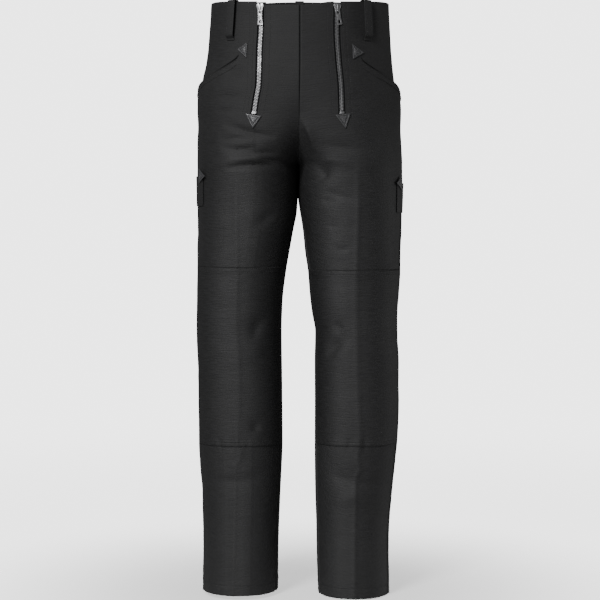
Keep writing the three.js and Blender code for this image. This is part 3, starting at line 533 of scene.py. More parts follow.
class TrousersTrim(bpy.types.PropertyGroup):
    """The zips and the leather pieces."""

    metal_colour: bpy.props.FloatVectorProperty(
        name="Metal colour", description="Colour of the zips' metal", subtype="COLOR",
        size=4, min=0, max=1, default=(0.46, 0.46, 0.47, 1))
    tape_colour: bpy.props.FloatVectorProperty(
        name="Tape colour", description="Colour of the zips' tape", subtype="COLOR",
        size=4, min=0, max=1, default=(0.008, 0.008, 0.009, 1))
    leather_colour: bpy.props.FloatVectorProperty(
        name="Leather colour", description="Colour of the leather", subtype="COLOR",
        size=4, min=0, max=1, default=(0.03, 0.03, 0.033, 1))
    tooth_pitch: bpy.props.FloatProperty(
        name="Tooth pitch", description="Distance from tooth to tooth on one side of a zip",
        subtype="DISTANCE", unit="LENGTH", default=0.0025)


class TrousersStage(bpy.types.PropertyGroup):
    """The floor, the backdrop and the lights."""

    floor_colour: bpy.props.FloatVectorProperty(
        name="Floor colour", description="Colour of the floor", subtype="COLOR", size=4,
        min=0, max=1, default=(0.86, 0.86, 0.86, 1))
    key_power: bpy.props.FloatProperty(
        name="Key light", description="Power of the light above at the front left",
        subtype="POWER", unit="POWER", default=170)
    fill_power: bpy.props.FloatProperty(
        name="Fill light", description="Power of the low light at the front left",
        subtype="POWER", unit="POWER", default=50)
    right_power: bpy.props.FloatProperty(
        name="Right light", description="Power of the light at the right",
        subtype="POWER", unit="POWER", default=18)


# ---------------------------------------------------------------- shader arithmetic


class Value:
    """One socket of a look. Arithmetic on it adds Math nodes."""

    def __init__(self, look, socket):
        self.look, self.socket = look, socket

    def math(self, operation, *others):
        node = self.look.node("ShaderNodeMath", {"operation": operation},
                              dict(enumerate((self, *others))))
        return Value(self.look, node.outputs[0])

    def __add__(self, other):
        return self.math("ADD", other)

    __radd__ = __add__

    def __mul__(self, other):
        return self.math("MULTIPLY", other)

    __rmul__ = __mul__

    def __sub__(self, other):
        return self.math("SUBTRACT", other)

    def __rsub__(self, other):
        return (self * -1) + other

    def __truediv__(self, other):
        return self.math("DIVIDE", other)

    def __pow__(self, other):
        return self.math("POWER", other)

    def __abs__(self):
        return self.math("ABSOLUTE")

    def sine(self):
        return self.math("SINE")

    def clamped(self):
        return self.math("MINIMUM", 1).math("MAXIMUM", 0)

    def above(self, low, high):
        """Rises from 0 at low to 1 at high."""
        node = self.look.node("ShaderNodeMapRange", {"interpolation_type": "SMOOTHSTEP"},
                              {0: self, 1: low, 2: high})
        return Value(self.look, node.outputs[0])

    def groove(self, place, width):
        """1 on a line where the value is place, falling to 0 a width away."""
        return 1 - abs(self - place).above(0, width)


class Look:
    """A material on one Principled BSDF."""

    def __init__(self, name, **constants):
        self.material = bpy.data.materials.new(name)
        self.material.use_nodes = True
        self.tree = self.material.node_tree
        self.surface = self.tree.nodes["Principled BSDF"]
        for socket, value in constants.items():
            self.surface.inputs[socket.replace("_", " ")].default_value = value

    def node(self, kind, settings=None, inputs=None):
        node = self.tree.nodes.new(kind)
        for key, value in (settings or {}).items():
            if key == "stops":
                ramp = node.color_ramp.elements
                while len(ramp) < len(value):
                    ramp.new(0.5)
                for element, (place, colour) in zip(ramp, value):
                    element.position, element.color = place, colour
            else:
                setattr(node, key, value)
        for key, value in (inputs or {}).items():
            if isinstance(value, Value):
                self.tree.links.new(value.socket, node.inputs[key])
            else:
                node.inputs[key].default_value = value
        return node

    def read(self, kind, output, settings=None, inputs=None):
        return Value(self, self.node(kind, settings, inputs).outputs[output])

    def attribute(self, name):
        return self.read("ShaderNodeAttribute", "Fac", {"attribute_name": name})

    def stretched(self, coordinates, scale):
        return self.read("ShaderNodeMapping", "Vector", {}, {"Vector": coordinates,
                                                             "Scale": scale})

    def noise(self, vector, scale, detail=2.0, roughness=0.5):
        return self.read("ShaderNodeTexNoise", "Fac", {},
                         {"Vector": vector, "Scale": scale, "Detail": detail,
                          "Roughness": roughness})

    def parts(self, vector):
        """The components of a vector."""
        node = self.node("ShaderNodeSeparateXYZ", {}, {0: vector})
        return [Value(self, output) for output in node.outputs]

    def mix(self, share, first, second):
        return self.read("ShaderNodeMix", 2, {"data_type": "RGBA"},
                         {0: share, 6: first, 7: second})

    def toned(self, share, colour, darkest, lightest):
        """A colour that goes from a darker to a lighter shade of itself."""
        return self.mix(share, shade(colour, darkest), shade(colour, lightest))

    def bump(self, height, distance, strength=1.0, under=None):
        inputs = {"Height": height, "Distance": distance, "Strength": strength}
        if under is not None:
            inputs["Normal"] = under
        return self.read("ShaderNodeBump", "Normal", {}, inputs)

    def set(self, socket, value):
        self.tree.links.new(value.socket, self.surface.inputs[socket])


def shade(colour, factor):
    return (*(channel * factor for channel in colour[:3]), 1)


# ---------------------------------------------------------------- materials

LINES = ("zip", "mouth", "side", "inner", "waist", "hem", "knee", "row")
FAR = 500.0    # the value of a line that a piece doesn't have

# Each row of stitches: its line, its distance from that, its width and how deep it sinks.
SEWN = [
    ("zip", 9, 1.6, 1), ("zip", 17, 1.6, 1), ("zip", -9, 1.6, 1), ("zip", -17, 1.6, 1),
    ("mouth", 2.4, 1.4, 0.5), ("mouth", 9.5, 1.6, 0.5), ("side", 2, 1.6, 1),
    ("side", 8.5, 1.6, 1), ("inner", 2, 1.6, 1), ("inner", 8.5, 1.6, 1), ("hem", 18, 1.8, 1),
    ("knee", 8.5, 1.6, 0.4), ("knee", 2.2, 1.6, 0.4), ("waist", 2.4, 1.4, 0.3),
    ("row", 0, 1.3, 1),
]


def made_once(make):
    """Makes a material on its first use and hands out the same one afterwards."""
    def look():
        return bpy.data.materials.get(make.__name__) or make()
    return look


@made_once
def heavy_cotton():
    """Dense black satin-faced cotton, with sewn lines sunk along the distances a piece holds, and
    painted shade along a knee patch's top edge and a pocket mouth's cut.
    """
    settings = bpy.context.scene.trousers_cloth
    look = Look("heavy_cotton", Specular_IOR_Level=0.42)
    grain = look.read("ShaderNodeUVMap", "UV", {"uv_map": "UVMap"})
    place = look.read("ShaderNodeTexCoord", "Object")
    u, v, _ = look.parts(grain)
    turns = 2 * math.pi / settings.weave
    drift = look.noise(look.stretched(grain, (60, 60, 60)), 1.0, 1.0)
    rib = (v * turns + u * (turns * 0.35) + drift * 2).sine()
    warp = (u * (turns * 1.6)).sine()
    weave = rib * 0.7 + warp * rib * 0.3
    slubs = look.noise(look.stretched(grain, (55, 420, 55)), 1.0, 3.0, 0.6)
    fibres = look.noise(look.stretched(grain, (900, 2600, 900)), 1.0, 2.0, 0.6)
    clouds = look.noise(place, 9.0, 3.0, 0.55)
    streaks = look.noise(look.stretched(grain, (14, 120, 14)), 1.0, 3.0, 0.6)
    lines = {name: look.attribute(name) for name in LINES}
    sewn = None
    for name, offset, width, depth in SEWN:
        line = lines[name].groove(offset, width) * depth
        sewn = line if sewn is None else sewn.math("MAXIMUM", line)
    felled = lines["side"].above(10.5, 8.5) + lines["inner"].above(10.5, 8.5)
    near = sewn.math("MAXIMUM", lines["hem"].above(21, 17)).math(
        "MAXIMUM", (abs(lines["knee"] - 5)).above(9, 4))
    pucker = look.noise(look.stretched(grain, (160, 160, 160)), 1.0, 2.0) * near
    # Lines sunk at a knee patch's top edge and at the pocket mouth's cut: a real groove in the bump
    # and rougher cloth, and painted shade in the base colour below.
    sunk_line_and_painted_shade = lines["knee"].groove(0.5, 1.6).math("MAXIMUM", lines["mouth"].groove(0.8, 3))
    height = (felled * 0.35 - sewn * 0.35 - sunk_line_and_painted_shade * 1.2 + pucker * 0.5 + slubs * 0.7
              + streaks * 0.25)
    broad = look.bump(height, 0.0011)
    fine = look.bump(weave * 0.5 + fibres * 0.5, 0.00016, 0.8, broad)
    look.set("Normal", fine)
    worn = (slubs.above(0.3, 0.7) * 0.6 + clouds.above(0.35, 0.75) * 0.25 + streaks * 0.3
            ).clamped()
    # Painted shade: the base colour is darkened along the knee patch's top edge and the pocket
    # mouth's cut.
    look.set("Base Color", look.toned(worn * (1 - sunk_line_and_painted_shade), settings.colour, 0.6, 1.5))
    unworn = look.parts(place)[2].above(-0.34, -0.14) * 0.15
    rough = (settings.roughness + (streaks - 0.5) * 0.12 + (slubs - 0.5) * 0.2 + sunk_line_and_painted_shade * 0.4
             + unworn)
    look.set("Roughness", rough)
    return look.material


@made_once
def sewing_thread():
    settings = bpy.context.scene.trousers_cloth
    look = Look("sewing_thread", Specular_IOR_Level=0.45, Roughness=0.5)
    place = look.read("ShaderNodeTexCoord", "Object")
    strands = look.noise(look.stretched(place, (1500, 1500, 4200)), 1.0, 1.0)
    look.set("Normal", look.bump(strands, 0.0002))
    look.set("Base Color", look.toned(strands, settings.thread_colour, 0.8, 1.3))
    return look.material


@made_once
def zip_tape_weave():
    settings = bpy.context.scene.trousers_trim
    look = Look("zip_tape_weave", Specular_IOR_Level=0.3)
    u, v, _ = look.parts(look.read("ShaderNodeUVMap", "UV", {"uv_map": "UVMap"}))
    ribs = (v * (2 * math.pi / 0.0008) + (u * (math.pi / 0.0011)).sine() * 1.5).sine()
    look.set("Normal", look.bump(ribs, 0.0003, 0.8))
    look.set("Base Color", look.toned(ribs * 0.5 + 0.5, settings.tape_colour, 0.6, 1.6))
    look.set("Roughness", ribs * 0.05 + 0.8)
    return look.material


@made_once
def embossed_leather():
    settings = bpy.context.scene.trousers_trim
    look = Look("embossed_leather", Specular_IOR_Level=0.6, Coat_Roughness=0.22)
    place = look.read("ShaderNodeTexCoord", "Object")
    cells = look.read("ShaderNodeTexVoronoi", "Distance", {"feature": "DISTANCE_TO_EDGE"},
                      {"Vector": place, "Scale": 1050.0})
    pebble = cells.above(0.0, 0.22)
    creases = look.noise(place, 260.0, 4.0, 0.6)
    height = pebble * 0.6 + creases * 0.6
    look.set("Normal", look.bump(height, 0.00022, 0.9))
    worn = look.attribute("rubbed") * (0.6 + creases * 0.8)
    tone = look.toned(worn.clamped(), settings.leather_colour, 0.75, 2.6)
    look.set("Base Color", look.mix(pebble, shade(settings.leather_colour, 0.45), tone))
    look.set("Roughness", 0.42 + creases * 0.16 - worn * 0.16)
    look.set("Coat Weight", 0.25 + worn * 0.35)
    return look.material


@made_once
def plated_metal():
    settings = bpy.context.scene.trousers_trim
    look = Look("plated_metal", Metallic=1.0)
    place = look.read("ShaderNodeTexCoord", "Object")
    brushed = look.noise(look.stretched(place, (2600, 2600, 500)), 1.0, 2.0)
    dull = look.noise(place, 420.0, 3.0, 0.6)
    look.set("Normal", look.bump(brushed, 0.00003, 0.6))
    look.set("Base Color", look.toned(dull.above(0.35, 0.75), settings.metal_colour, 1, 0.62))
    look.set("Roughness", 0.24 + dull * 0.14 + brushed * 0.08)
    return look.material


# ---------------------------------------------------------------- making pieces


def deselect():
    if bpy.context.object and bpy.context.object.mode != "OBJECT":
        bpy.ops.object.mode_set(mode="OBJECT")
    bpy.ops.object.select_all(action="DESELECT")


def activate(piece):
    deselect()
    piece.select_set(True)
    bpy.context.view_layer.objects.active = piece


@contextlib.contextmanager
def editing(piece):
    """Edit mode on a piece with all of it selected."""
    activate(piece)
    bpy.ops.object.mode_set(mode="EDIT")
    bpy.ops.mesh.select_all(action="SELECT")
    yield
    bpy.ops.object.mode_set(mode="OBJECT")


def face_outwards(piece):
    with editing(piece):
        bpy.ops.mesh.normals_make_consistent(inside=False)


def cross_cut(piece, *places):
    """Cuts new edges round a piece at places along X."""
    for x in places:
        with editing(piece):
            bpy.ops.mesh.bisect(plane_co=(x, 0, 0), plane_no=(1, 0, 0))


def apply_modifier(piece, kind, **settings):
    activate(piece)
    modifier = piece.modifiers.new(kind.title(), kind)
    for key, value in settings.items():
        setattr(modifier, key, value)
    bpy.ops.object.modifier_apply(modifier=modifier.name)


def bevel_edges(piece, width, segments, degrees):
    """Bevels the edges that are sharper than an angle."""
    apply_modifier(piece, "BEVEL", width=width, segments=segments, limit_method="ANGLE",
                   angle_limit=math.radians(degrees))


def smooth(piece, degrees=35):
    activate(piece)
    bpy.ops.object.shade_smooth_by_angle(angle=math.radians(degrees))


def coordinates(piece):
    values = np.empty(len(piece.data.vertices) * 3, np.float32)
    piece.data.vertices.foreach_get("co", values)
    return values.reshape(-1, 3).astype(float)


def move_to(piece, points):
    piece.data.vertices.foreach_set("co", points.astype(np.float32).ravel())
    piece.data.update()


def taken_apart(piece):
    """A piece's points and faces. The piece itself goes."""
    shape = coordinates(piece), [tuple(face.vertices) for face in piece.data.polygons]
    bpy.data.objects.remove(piece)
    return shape


def finish_piece(piece, name, look, body, replaced=()):
    piece.name = name
    piece.data.name = name
    piece.data.materials.clear()
    piece.data.materials.append(look)
    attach(piece, body)
    if replaced:
        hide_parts(*replaced)
    deselect()
    return piece


def grid_piece(points, lines=None, keep=None):
    """A primitive grid whose points are laid out as given, with its grain in millimetres as
    metres in the UV map and the distances to its sewn lines as attributes."""
    rows, columns = points.shape[:2]
    deselect()
    bpy.ops.mesh.primitive_grid_add(x_subdivisions=columns - 1, y_subdivisions=rows - 1, size=1)
    piece = bpy.context.object
    mesh = piece.data
    if len(mesh.vertices) != rows * columns:
        raise RuntimeError(f"the grid has {len(mesh.vertices)} points, not {rows * columns}")
    move_to(piece, points.reshape(-1, 3) * MM)
    piece.matrix_world = Matrix.Identity(4)
    across = np.linalg.norm(np.diff(points, axis=1), axis=2)
    down = np.linalg.norm(np.diff(points, axis=0), axis=2)
    u = np.concatenate([np.zeros((rows, 1)), np.cumsum(across, axis=1)], axis=1)
    u -= u[:, [columns // 2]]
    v = np.concatenate([np.zeros((1, columns)), np.cumsum(down, axis=0)], axis=0)
    grain = np.stack([u, v], axis=-1).reshape(-1, 2) * MM
    corners = np.empty(len(mesh.loops), np.int32)
    mesh.loops.foreach_get("vertex_index", corners)
    mesh.uv_layers[0].name = "UVMap"
    mesh.uv_layers[0].data.foreach_set("uv", grain[corners].astype(np.float32).ravel())
    for name in LINES:
        values = np.broadcast_to((lines or {}).get(name, FAR), (rows, columns))
        attribute = mesh.attributes.new(name, "FLOAT", "POINT")
        attribute.data.foreach_set("value", values.astype(np.float32).ravel())
    if keep is not None:
        shape = bmesh.new()
        shape.from_mesh(mesh)
        shape.verts.ensure_lookup_table()
        gone = [f for f in shape.faces
                if not keep(*np.divmod([v.index for v in f.verts], columns))]
        bmesh.ops.delete(shape, geom=gone, context="FACES")
        shape.to_mesh(mesh)
        shape.free()
    return piece


def walled_piece(points, out, thickness, bevel, segments, lines=None, keep=None):
    """A wall whose outer face is the given points, with its edges bevelled."""
    piece = grid_piece(points, lines, keep)
    middle = piece.data.polygons[len(piece.data.polygons) // 2]
    nearest = np.argmin(np.linalg.norm(points.reshape(-1, 3) * MM - np.array(middle.center),
                                       axis=1))
    if Vector(out.reshape(-1, 3)[nearest]).dot(middle.normal) < 0:
        piece.data.flip_normals()
    apply_modifier(piece, "SOLIDIFY", thickness=thickness * MM, offset=-1)
    bevel_edges(piece, bevel * MM, segments, 65)
    return piece


def cloth_piece(name, points, out, thickness, nodes, lines=None, keep=None,
                look=None):
    piece = walled_piece(points, out, thickness, min(0.4, thickness / 3.2), 2, lines, keep)
    smooth(piece, 50)
    return finish_piece(piece, name, look or heavy_cotton(), BODY, nodes)


# ---------------------------------------------------------------- stitches


def stitch_shape():
    """One stitch: a short thread whose ends dip into the cloth, along X with Z out of it."""
    settings = bpy.context.scene.trousers_cloth
    long, radius = settings.stitch * 0.8 / MM, settings.thread / 2 / MM
    deselect()
    bpy.ops.mesh.primitive_cylinder_add(vertices=6, radius=radius, depth=long,
                                        rotation=(0, math.pi / 2, 0), end_fill_type="NGON")
    bpy.ops.object.transform_apply(location=True, rotation=True, scale=True)
    shape = bpy.context.object
    cross_cut(shape, long / 4, -long / 4)
    points, faces = taken_apart(shape)
    share = np.abs(points[:, 0]) / (long / 2)
    points[:, 2] += 0.16 - 0.62 * np.clip(share - 0.5, 0, 1) * 2 * radius / 0.3
    points[:, 1] *= 1.15
    return points, faces


def repeated(name, shape, places):
    """One object of a shape's copies. A place is its point and its three directions."""
    points, faces = shape
    verts = [here + points @ directions for here, directions in places]
    copied = [tuple(i + len(points) * copy for i in face)
              for copy in range(len(verts)) for face in faces]
    mesh = bpy.data.meshes.new(name)
    mesh.from_pydata((np.concatenate(verts) * MM).tolist(), [], copied)
    piece = bpy.data.objects.new(name, mesh)
    bpy.context.scene.collection.objects.link(piece)
    return piece


def sew(name, paths):
    """Rows of stitches. A path is its points and the way out of the cloth at each."""
    pitch = bpy.context.scene.trousers_cloth.stitch / MM
    places = []
    for points, out in paths:
        travelled = travelled_along(points)
        count = max(int(travelled[-1] / pitch), 1)
        for at in (np.arange(count) + 0.5) * travelled[-1] / count:
            behind, here, ahead = (read_along(travelled, points, at + step)
                                   for step in (-pitch / 2, 0, pitch / 2))
            along = unit(ahead - behind)
            across = unit(np.cross(unit(read_along(travelled, out, at)), along))
            places.append((here, np.stack([along, across, np.cross(along, across)])))
    piece = repeated(name, stitch_shape(), places)
    smooth(piece, 60)
    return finish_piece(piece, name, sewing_thread(), BODY)


# ---------------------------------------------------------------- operators


class TROUSERS_OT_fronts(bpy.types.Operator):
    """Make the two front panels with their zip slots and slanted pocket mouths"""

    bl_idname = "trousers.fronts"
    bl_label = "Front panels"

    def execute(self, context):
        columns = edged(steps(0, (MOUTH_COLUMN, 36), (SLOT_OUTER, 16), (SLOT_INNER, 3),
                              (INNER_COLUMN, 34)), 0.016, 0.04, 0.09, 0.15)
        rows = steps(0, (MOUTH_ROW, 44), (MOUTH_ROW + 1, 1), (CROTCH_ROW, 62),
                     (CROTCH_ROW + ROWS["to_knee"], 50),
                     (CROTCH_ROW + ROWS["to_knee"] + ROWS["knee"], 84), (FRONT_ROWS, 72))
        row, column = lattice(rows, columns)
        mouth_row = int(np.searchsorted(rows, MOUTH_ROW))
        mouth_end = int(np.searchsorted(columns, MOUTH_COLUMN))
        slot = [int(np.searchsorted(columns, c)) for c in (SLOT_OUTER, SLOT_INNER)]
        for side, sign in SIDES.items():
            points, out = front_point(side, row, column)
            points = sewn_edges(side, points, out)
            z = points[..., 2]

            def keep(row_index, column_index):
                in_mouth = (row_index.min() >= mouth_row and row_index.max() <= mouth_row + 1
                            and column_index.max() <= mouth_end)
                in_slot = (column_index.min() >= slot[0] and column_index.max() <= slot[1]
                           and z[row_index.min(), slot[0]] > ZIP_END)
                return not (in_mouth or in_slot)

            from_side, to_inner = across_panel(points)
            zip_distance = np.where(z > ZIP_END - 6, sign * points[..., 0]
                                    - zip_line[side](z), FAR)
            mouth = np.where(column < MOUTH_COLUMN + 0.1,
                             (mouth_height(side, column) - z) * MOUTH_ACROSS, FAR)
            lines = {
                "side": np.where(z < MOUTH_OUTER_Z[side] + 4, from_side, FAR),
                "inner": np.where(z < CROTCH - 6, to_inner, FAR),
                "zip": zip_distance, "mouth": mouth,
                "waist": waist_edge(front_turn(side, z * 0, column)) - z - 44,
                "hem": z - HEM[side],
            }
            piece = cloth_piece(f"front_{side}_cloth", points, out, CLOTH, [f"front_{side}"],
                                lines, keep)
        return {"FINISHED"}


class TROUSERS_OT_backs(bpy.types.Operator):
    """Make the two back panels and the back waistband"""

    bl_idname = "trousers.backs"
    bl_label = "Back panels"

    def execute(self, context):
        columns = edged(steps(0, (BACK_COLUMNS, 78)), 0.011, 0.028, 0.06, 0.09)
        rows = steps(0, (BACK_UPPER_ROWS, 78), (BACK_UPPER_ROWS + LEG_ROWS, 200))
        row, column = lattice(rows, columns)
        for side in SIDES:
            points, out = back_point(side, row, column)
            points = sewn_edges(side, points, out, 1.0)
            from_side, to_inner = across_panel(points)
            z = points[..., 2]
            lines = {"side": from_side, "inner": np.where(z < CROTCH - 6, to_inner, FAR),
                     "hem": z - HEM[side]}
            piece = cloth_piece(f"back_{side}_cloth", points, out, CLOTH, [f"back_{side}"],
                                lines)
        self.waistband()
        return {"FINISHED"}

    def waistband(self):
        columns = steps(0, (2 * BACK_COLUMNS, 130))
        share, across = lattice(np.linspace(0, 1, 17), columns)
        at = BACK_COLUMNS - np.abs(across - BACK_COLUMNS)
        made = {}
        for side in SIDES:
            z = waist_edge(back_turn(side, at * 0, at)) - BAND_HEIGHT * share
            made[side] = skin(side, z, back_turn(side, z, at))
        on_right = (across < BACK_COLUMNS)[..., None]
        points, out = (np.where(on_right, made["right"][i], made["left"][i]) for i in (0, 1))
        edge = BAND_HEIGHT * share
        piece = cloth_piece("waistband_back_cloth", points, out, BAND_WALL,
                            ["waistband_back"], {"row": np.minimum(abs(edge - 3), 45 - edge)})


class TROUSERS_OT_patches(bpy.types.Operator):
    """Make the knee reinforcements, the ruler pockets and the pocket facings"""

    bl_idname = "trousers.patches"
    bl_label = "Patches and facings"

    def execute(self, context):
        for side in SIDES:
            self.knee(side)
            self.ruler_pocket(side)
            self.facing(side)
        return {"FINISHED"}

    def knee(self, side):
        inset = 0.04
        first = CROTCH_ROW + ROWS["to_knee"]
        rows = steps(first, (first + ROWS["knee"], 96))
        columns = steps(inset, (INNER_COLUMN - inset, 60))
        row, column = lattice(rows, columns)
        points, out = front_point(side, row, column, SEAM_GAP + CLOTH)
        z = points[..., 2]
        from_side, to_inner = across_panel(points)
        lines = {"side": from_side, "inner": to_inner,
                 "knee": np.minimum(KNEE_TOP[side] - z, z - KNEE_BOTTOM + 1.5)}
        piece = cloth_piece(f"knee_patch_{side}_cloth", points, out, CLOTH,
                            [f"knee_patch_{side}"], lines)

    def ruler_pocket(self, side):
        start, end, top, bottom = RULER_POCKET[side]
        down, across = lattice(np.linspace(0, 1, 19), np.linspace(0, 1, 29))
        z = lerp(top, bottom, down)
        turn = np.radians(lerp(start, end, across))
        swell = RULER_STAND * np.sin(np.pi * across) ** 0.5 * (1 - 0.75 * down)
        lift = RULER_SEAT + CLOTH + swell
        points, out = skin(side, z, turn, lift)
        width = np.linalg.norm(np.diff(points, axis=1), axis=2).sum(axis=1)[:, None]
        edge = np.minimum(np.minimum(across, 1 - across) * width, (top - bottom) * (1 - down))
        piece = cloth_piece(f"ruler_pocket_{side}_cloth", points, out, CLOTH,
                            [f"ruler_pocket_{side}"], {"row": edge - 2.6})

    def facing(self, side):
        down, across = lattice(np.linspace(0, 1, 25), np.linspace(0, 1, 33))
        at = lerp(0.15, MOUTH_COLUMN + 0.4, across)
        mouth = mouth_height(side, at)
        z = lerp(mouth + FACING_ABOVE, mouth - FACING_BELOW, down)
        gape = mouth_gape(side, z * 0 + MOUTH_ROW + 1, at, np.minimum(z, mouth))
        lift = -BEHIND + 0.5 * gape * ease(mouth - z, 6, 24)
        points, out = skin(side, z, front_turn(side, z, at), lift)
        piece = cloth_piece(f"pocket_facing_{side}_cloth", points, out, CLOTH,
                            [f"pocket_facing_{side}"])


RULER_POCKET = {"left": (-31, 10, -295, -348), "right": (-33, 10, -283, -336)}
RULER_SEAT, RULER_STAND = 0.9, 1.2

LOOP_WIDTH, LOOP_WALL, LOOP_STAND, LOOP_TOP, LOOP_LENGTH = 15.5, 1.6, 9, 2.3, 71
LOOP_BEHIND, LOOP_STITCHING = 1.3, 4.6
FRONT_LOOP_X, SIDE_LOOP_TURN = {"left": 115.1, "right": 117.2}, 32


def loop_profile(waist):
    """Heights and distances off the band's face along a loop, from its foot over its top."""
    top = waist + LOOP_TOP
    foot = top - LOOP_LENGTH
    inside = -BAND_WALL - LOOP_BEHIND - LOOP_WALL
    near = LOOP_WALL + SEAM_GAP
    return np.array([
        (foot, near), (foot + 3, near), (foot + 6, LOOP_STAND * 0.75),
        (foot + 10, LOOP_STAND), (top - 7, LOOP_STAND), (top - 2, LOOP_STAND - 1),
        (top, LOOP_STAND - 3.4), (top, inside + 2.6), (top - 1.6, inside), (waist - 14, inside)])


def rounded(path, count):
    """The path with its corners eased, as evenly spaced points."""
    for _ in range(3):
        cut = [path[0]]
        for a, b in zip(path[:-1], path[1:]):
            cut += [a * 0.75 + b * 0.25, a * 0.25 + b * 0.75]
        path = np.array([*cut, path[-1]])
    travelled = travelled_along(path)
    return read_along(travelled, path, np.linspace(0, travelled[-1], count))


class TROUSERS_OT_loops(bpy.types.Operator):
    """Make the five belt loops with their stitching"""

    bl_idname = "trousers.loops"
    bl_label = "Belt loops"

    def execute(self, context):
        for side in SIDES:
            self.loop(f"belt_loop_front_{side}", side, turn_at(side, 0.0, FRONT_LOOP_X[side]))
            self.loop(f"belt_loop_side_{side}", side, math.radians(SIDE_LOOP_TURN))
        self.loop("belt_loop_back", "left", float(rise_turn("left", 0.0)))
        return {"FINISHED"}

    def loop(self, node, side, turn):
        waist = float(waist_edge(turn))
        path = rounded(loop_profile(waist), 70)
        aside = np.linspace(-0.5, 0.5, 13)
        z, across = lattice(path[:, 0], aside)
        lift = np.broadcast_to(path[:, 1:2], z.shape)
        crown = 0.35 * (1 - (2 * across) ** 4)
        turns = turn_beside(side, z * 0, turn + z * 0, LOOP_WIDTH * across)
        points, out = skin(side, z, turns, lift + crown - 0.35, wavy=False)
        lines = {"row": np.abs(np.abs(across) * LOOP_WIDTH - LOOP_STITCHING) + z * 0}
        piece = cloth_piece(f"{node}_cloth", points, out, LOOP_WALL, [node], lines)
        paths = []
        for offset in (-LOOP_STITCHING, LOOP_STITCHING):
            shift = turn_beside(side, path[:, 0] * 0, turn + path[:, 0] * 0, offset)
            paths.append(skin(side, path[:-24, 0], shift[:-24], path[:-24, 1], wavy=False))
        foot = waist + LOOP_TOP - LOOP_LENGTH
        bar = np.linspace(-6.5, 6.5, 16)
        for height in (foot + 2.2, foot + 3.2):
            shift = turn_beside(side, bar * 0, turn + bar * 0, bar)
            paths.append(skin(side, height + bar * 0, shift,
                              LOOP_WALL + SEAM_GAP + bar * 0, wavy=False))
        sew(f"{node}_stitching", paths)


# ---------------------------------------------------------------- zips


def outline_plate(outline, near, far, bevel=0.0):
    """A plate in the XZ plane from a closed outline, with its faces at y = -near and -far."""
    deselect()
    bpy.ops.mesh.primitive_circle_add(vertices=len(outline), radius=1, fill_type="NGON")
    piece = bpy.context.object
    move_to(piece, np.array([(x, -near, z) for x, z in outline], float))
    with editing(piece):
        bpy.ops.mesh.extrude_region_move(TRANSFORM_OT_translate={"value": (0, near - far, 0)})
    face_outwards(piece)
    if bevel:
        bevel_edges(piece, bevel, 3, 50)
    return piece


def cut_round(outline, share, rounds):
    """A closed outline with its corners cut off by a share of its sides."""
    for _ in range(rounds):
        outline = [p for a, b in zip(outline, outline[1:] + outline[:1])
                   for p in (lerp(a, b, share), lerp(b, a, share))]
    return outline


def softened(half, rounds=2):
    """A closed outline mirrored in x = 0 from its +X half, with its corners cut round."""
    right = [np.array(point, float) for point in half]
    left = [np.array((-x, z)) for x, z in reversed(half) if x > 0]
    return cut_round(right + left, 0.22, rounds)


def cut_away(piece, cutter):
    apply_modifier(piece, "BOOLEAN", object=cutter, operation="DIFFERENCE", solver="EXACT")
    bpy.data.objects.remove(cutter)


def join(pieces):
    deselect()
    for piece in pieces:
        piece.select_set(True)
    bpy.context.view_layer.objects.active = pieces[0]
    bpy.ops.object.join()
    return bpy.context.object


def place_in(piece, matrix):
    """Moves a piece made in millimetres into a frame of the garment."""
    piece.data.transform(Matrix.Scale(MM, 4) @ matrix)
    piece.data.update()


TAPE_WIDTH, TAPE_WALL = 19, 0.8
CHAIN_END = 7           # the teeth end this far above the slot's end
TOOTH = (4.4, 1.45)     # a tooth's length and width
TOOTH_MIDDLE = 1.4      # how far its middle is from the zip's
# Places along a tooth, and the shares of its width and its height there.
TOOTH_FORM = [(-0.8, 0.8, 0.62), (0.2, 1, 0.8), (0.9, 0.62, 0.86), (2.2, 0.95, 1),
              (3.6, 0.9, 0.72)]
TAPE_CORD, TAPE_CORD_AT, TAPE_CORD_WIDTH = 0.7, 3.9, 0.55    # the cord along each row of teeth
STOP_TOP, STOP_BOTTOM, STOP_WIDTH, STOP_WALL, STOP_CROWN = 6.5, 2, 8.4, 2.6, 0.25
SLIDER_Z, SLIDER_SEAT, SLIDER_PLATE = 1, 0.7, 2
CROWN_WIDTH = 2
HINGE_OUT, HINGE_UP = 3.8, 0.3
PULL_WALL, PULL_TILT = 1.2, 5
PULL_LEAN = {"left": 9.5, "right": 2}
SLIDER_OUTLINE = [(0, -2.9), (3.4, -2.7), (4.3, -1.6), (4.7, 2), (6.2, 7), (6.6, 8.6),
                  (6.2, 11), (4.4, 13), (2.4, 12.8), (1.1, 12), (0, 10.8)]
CROWN_OUTLINE = [(2.4, 12.4), (6.1, 10), (6.5, 0.2), (5.4, -2.3), (2.4, -2.5), (2.4, -1),
                 (4.9, -0.8), (5, 9.2), (2.4, 10.8)]
PULL_OUTLINE = [(0, 0.65), (3, 0.65), (3.9, 0), (4.2, -4), (3.9, -9), (4, -14), (4.8, -20),
                (5.3, -24), (4.6, -25.2), (0, -25.2)]
PULL_EYE = [(0, -0.75), (1.7, -0.75), (2.1, -3), (1.7, -5.2), (0, -5.9)]
PULL_WINDOW = [(0, -17.2), (1.9, -17.2), (2.1, -22.6), (0, -22.6)]


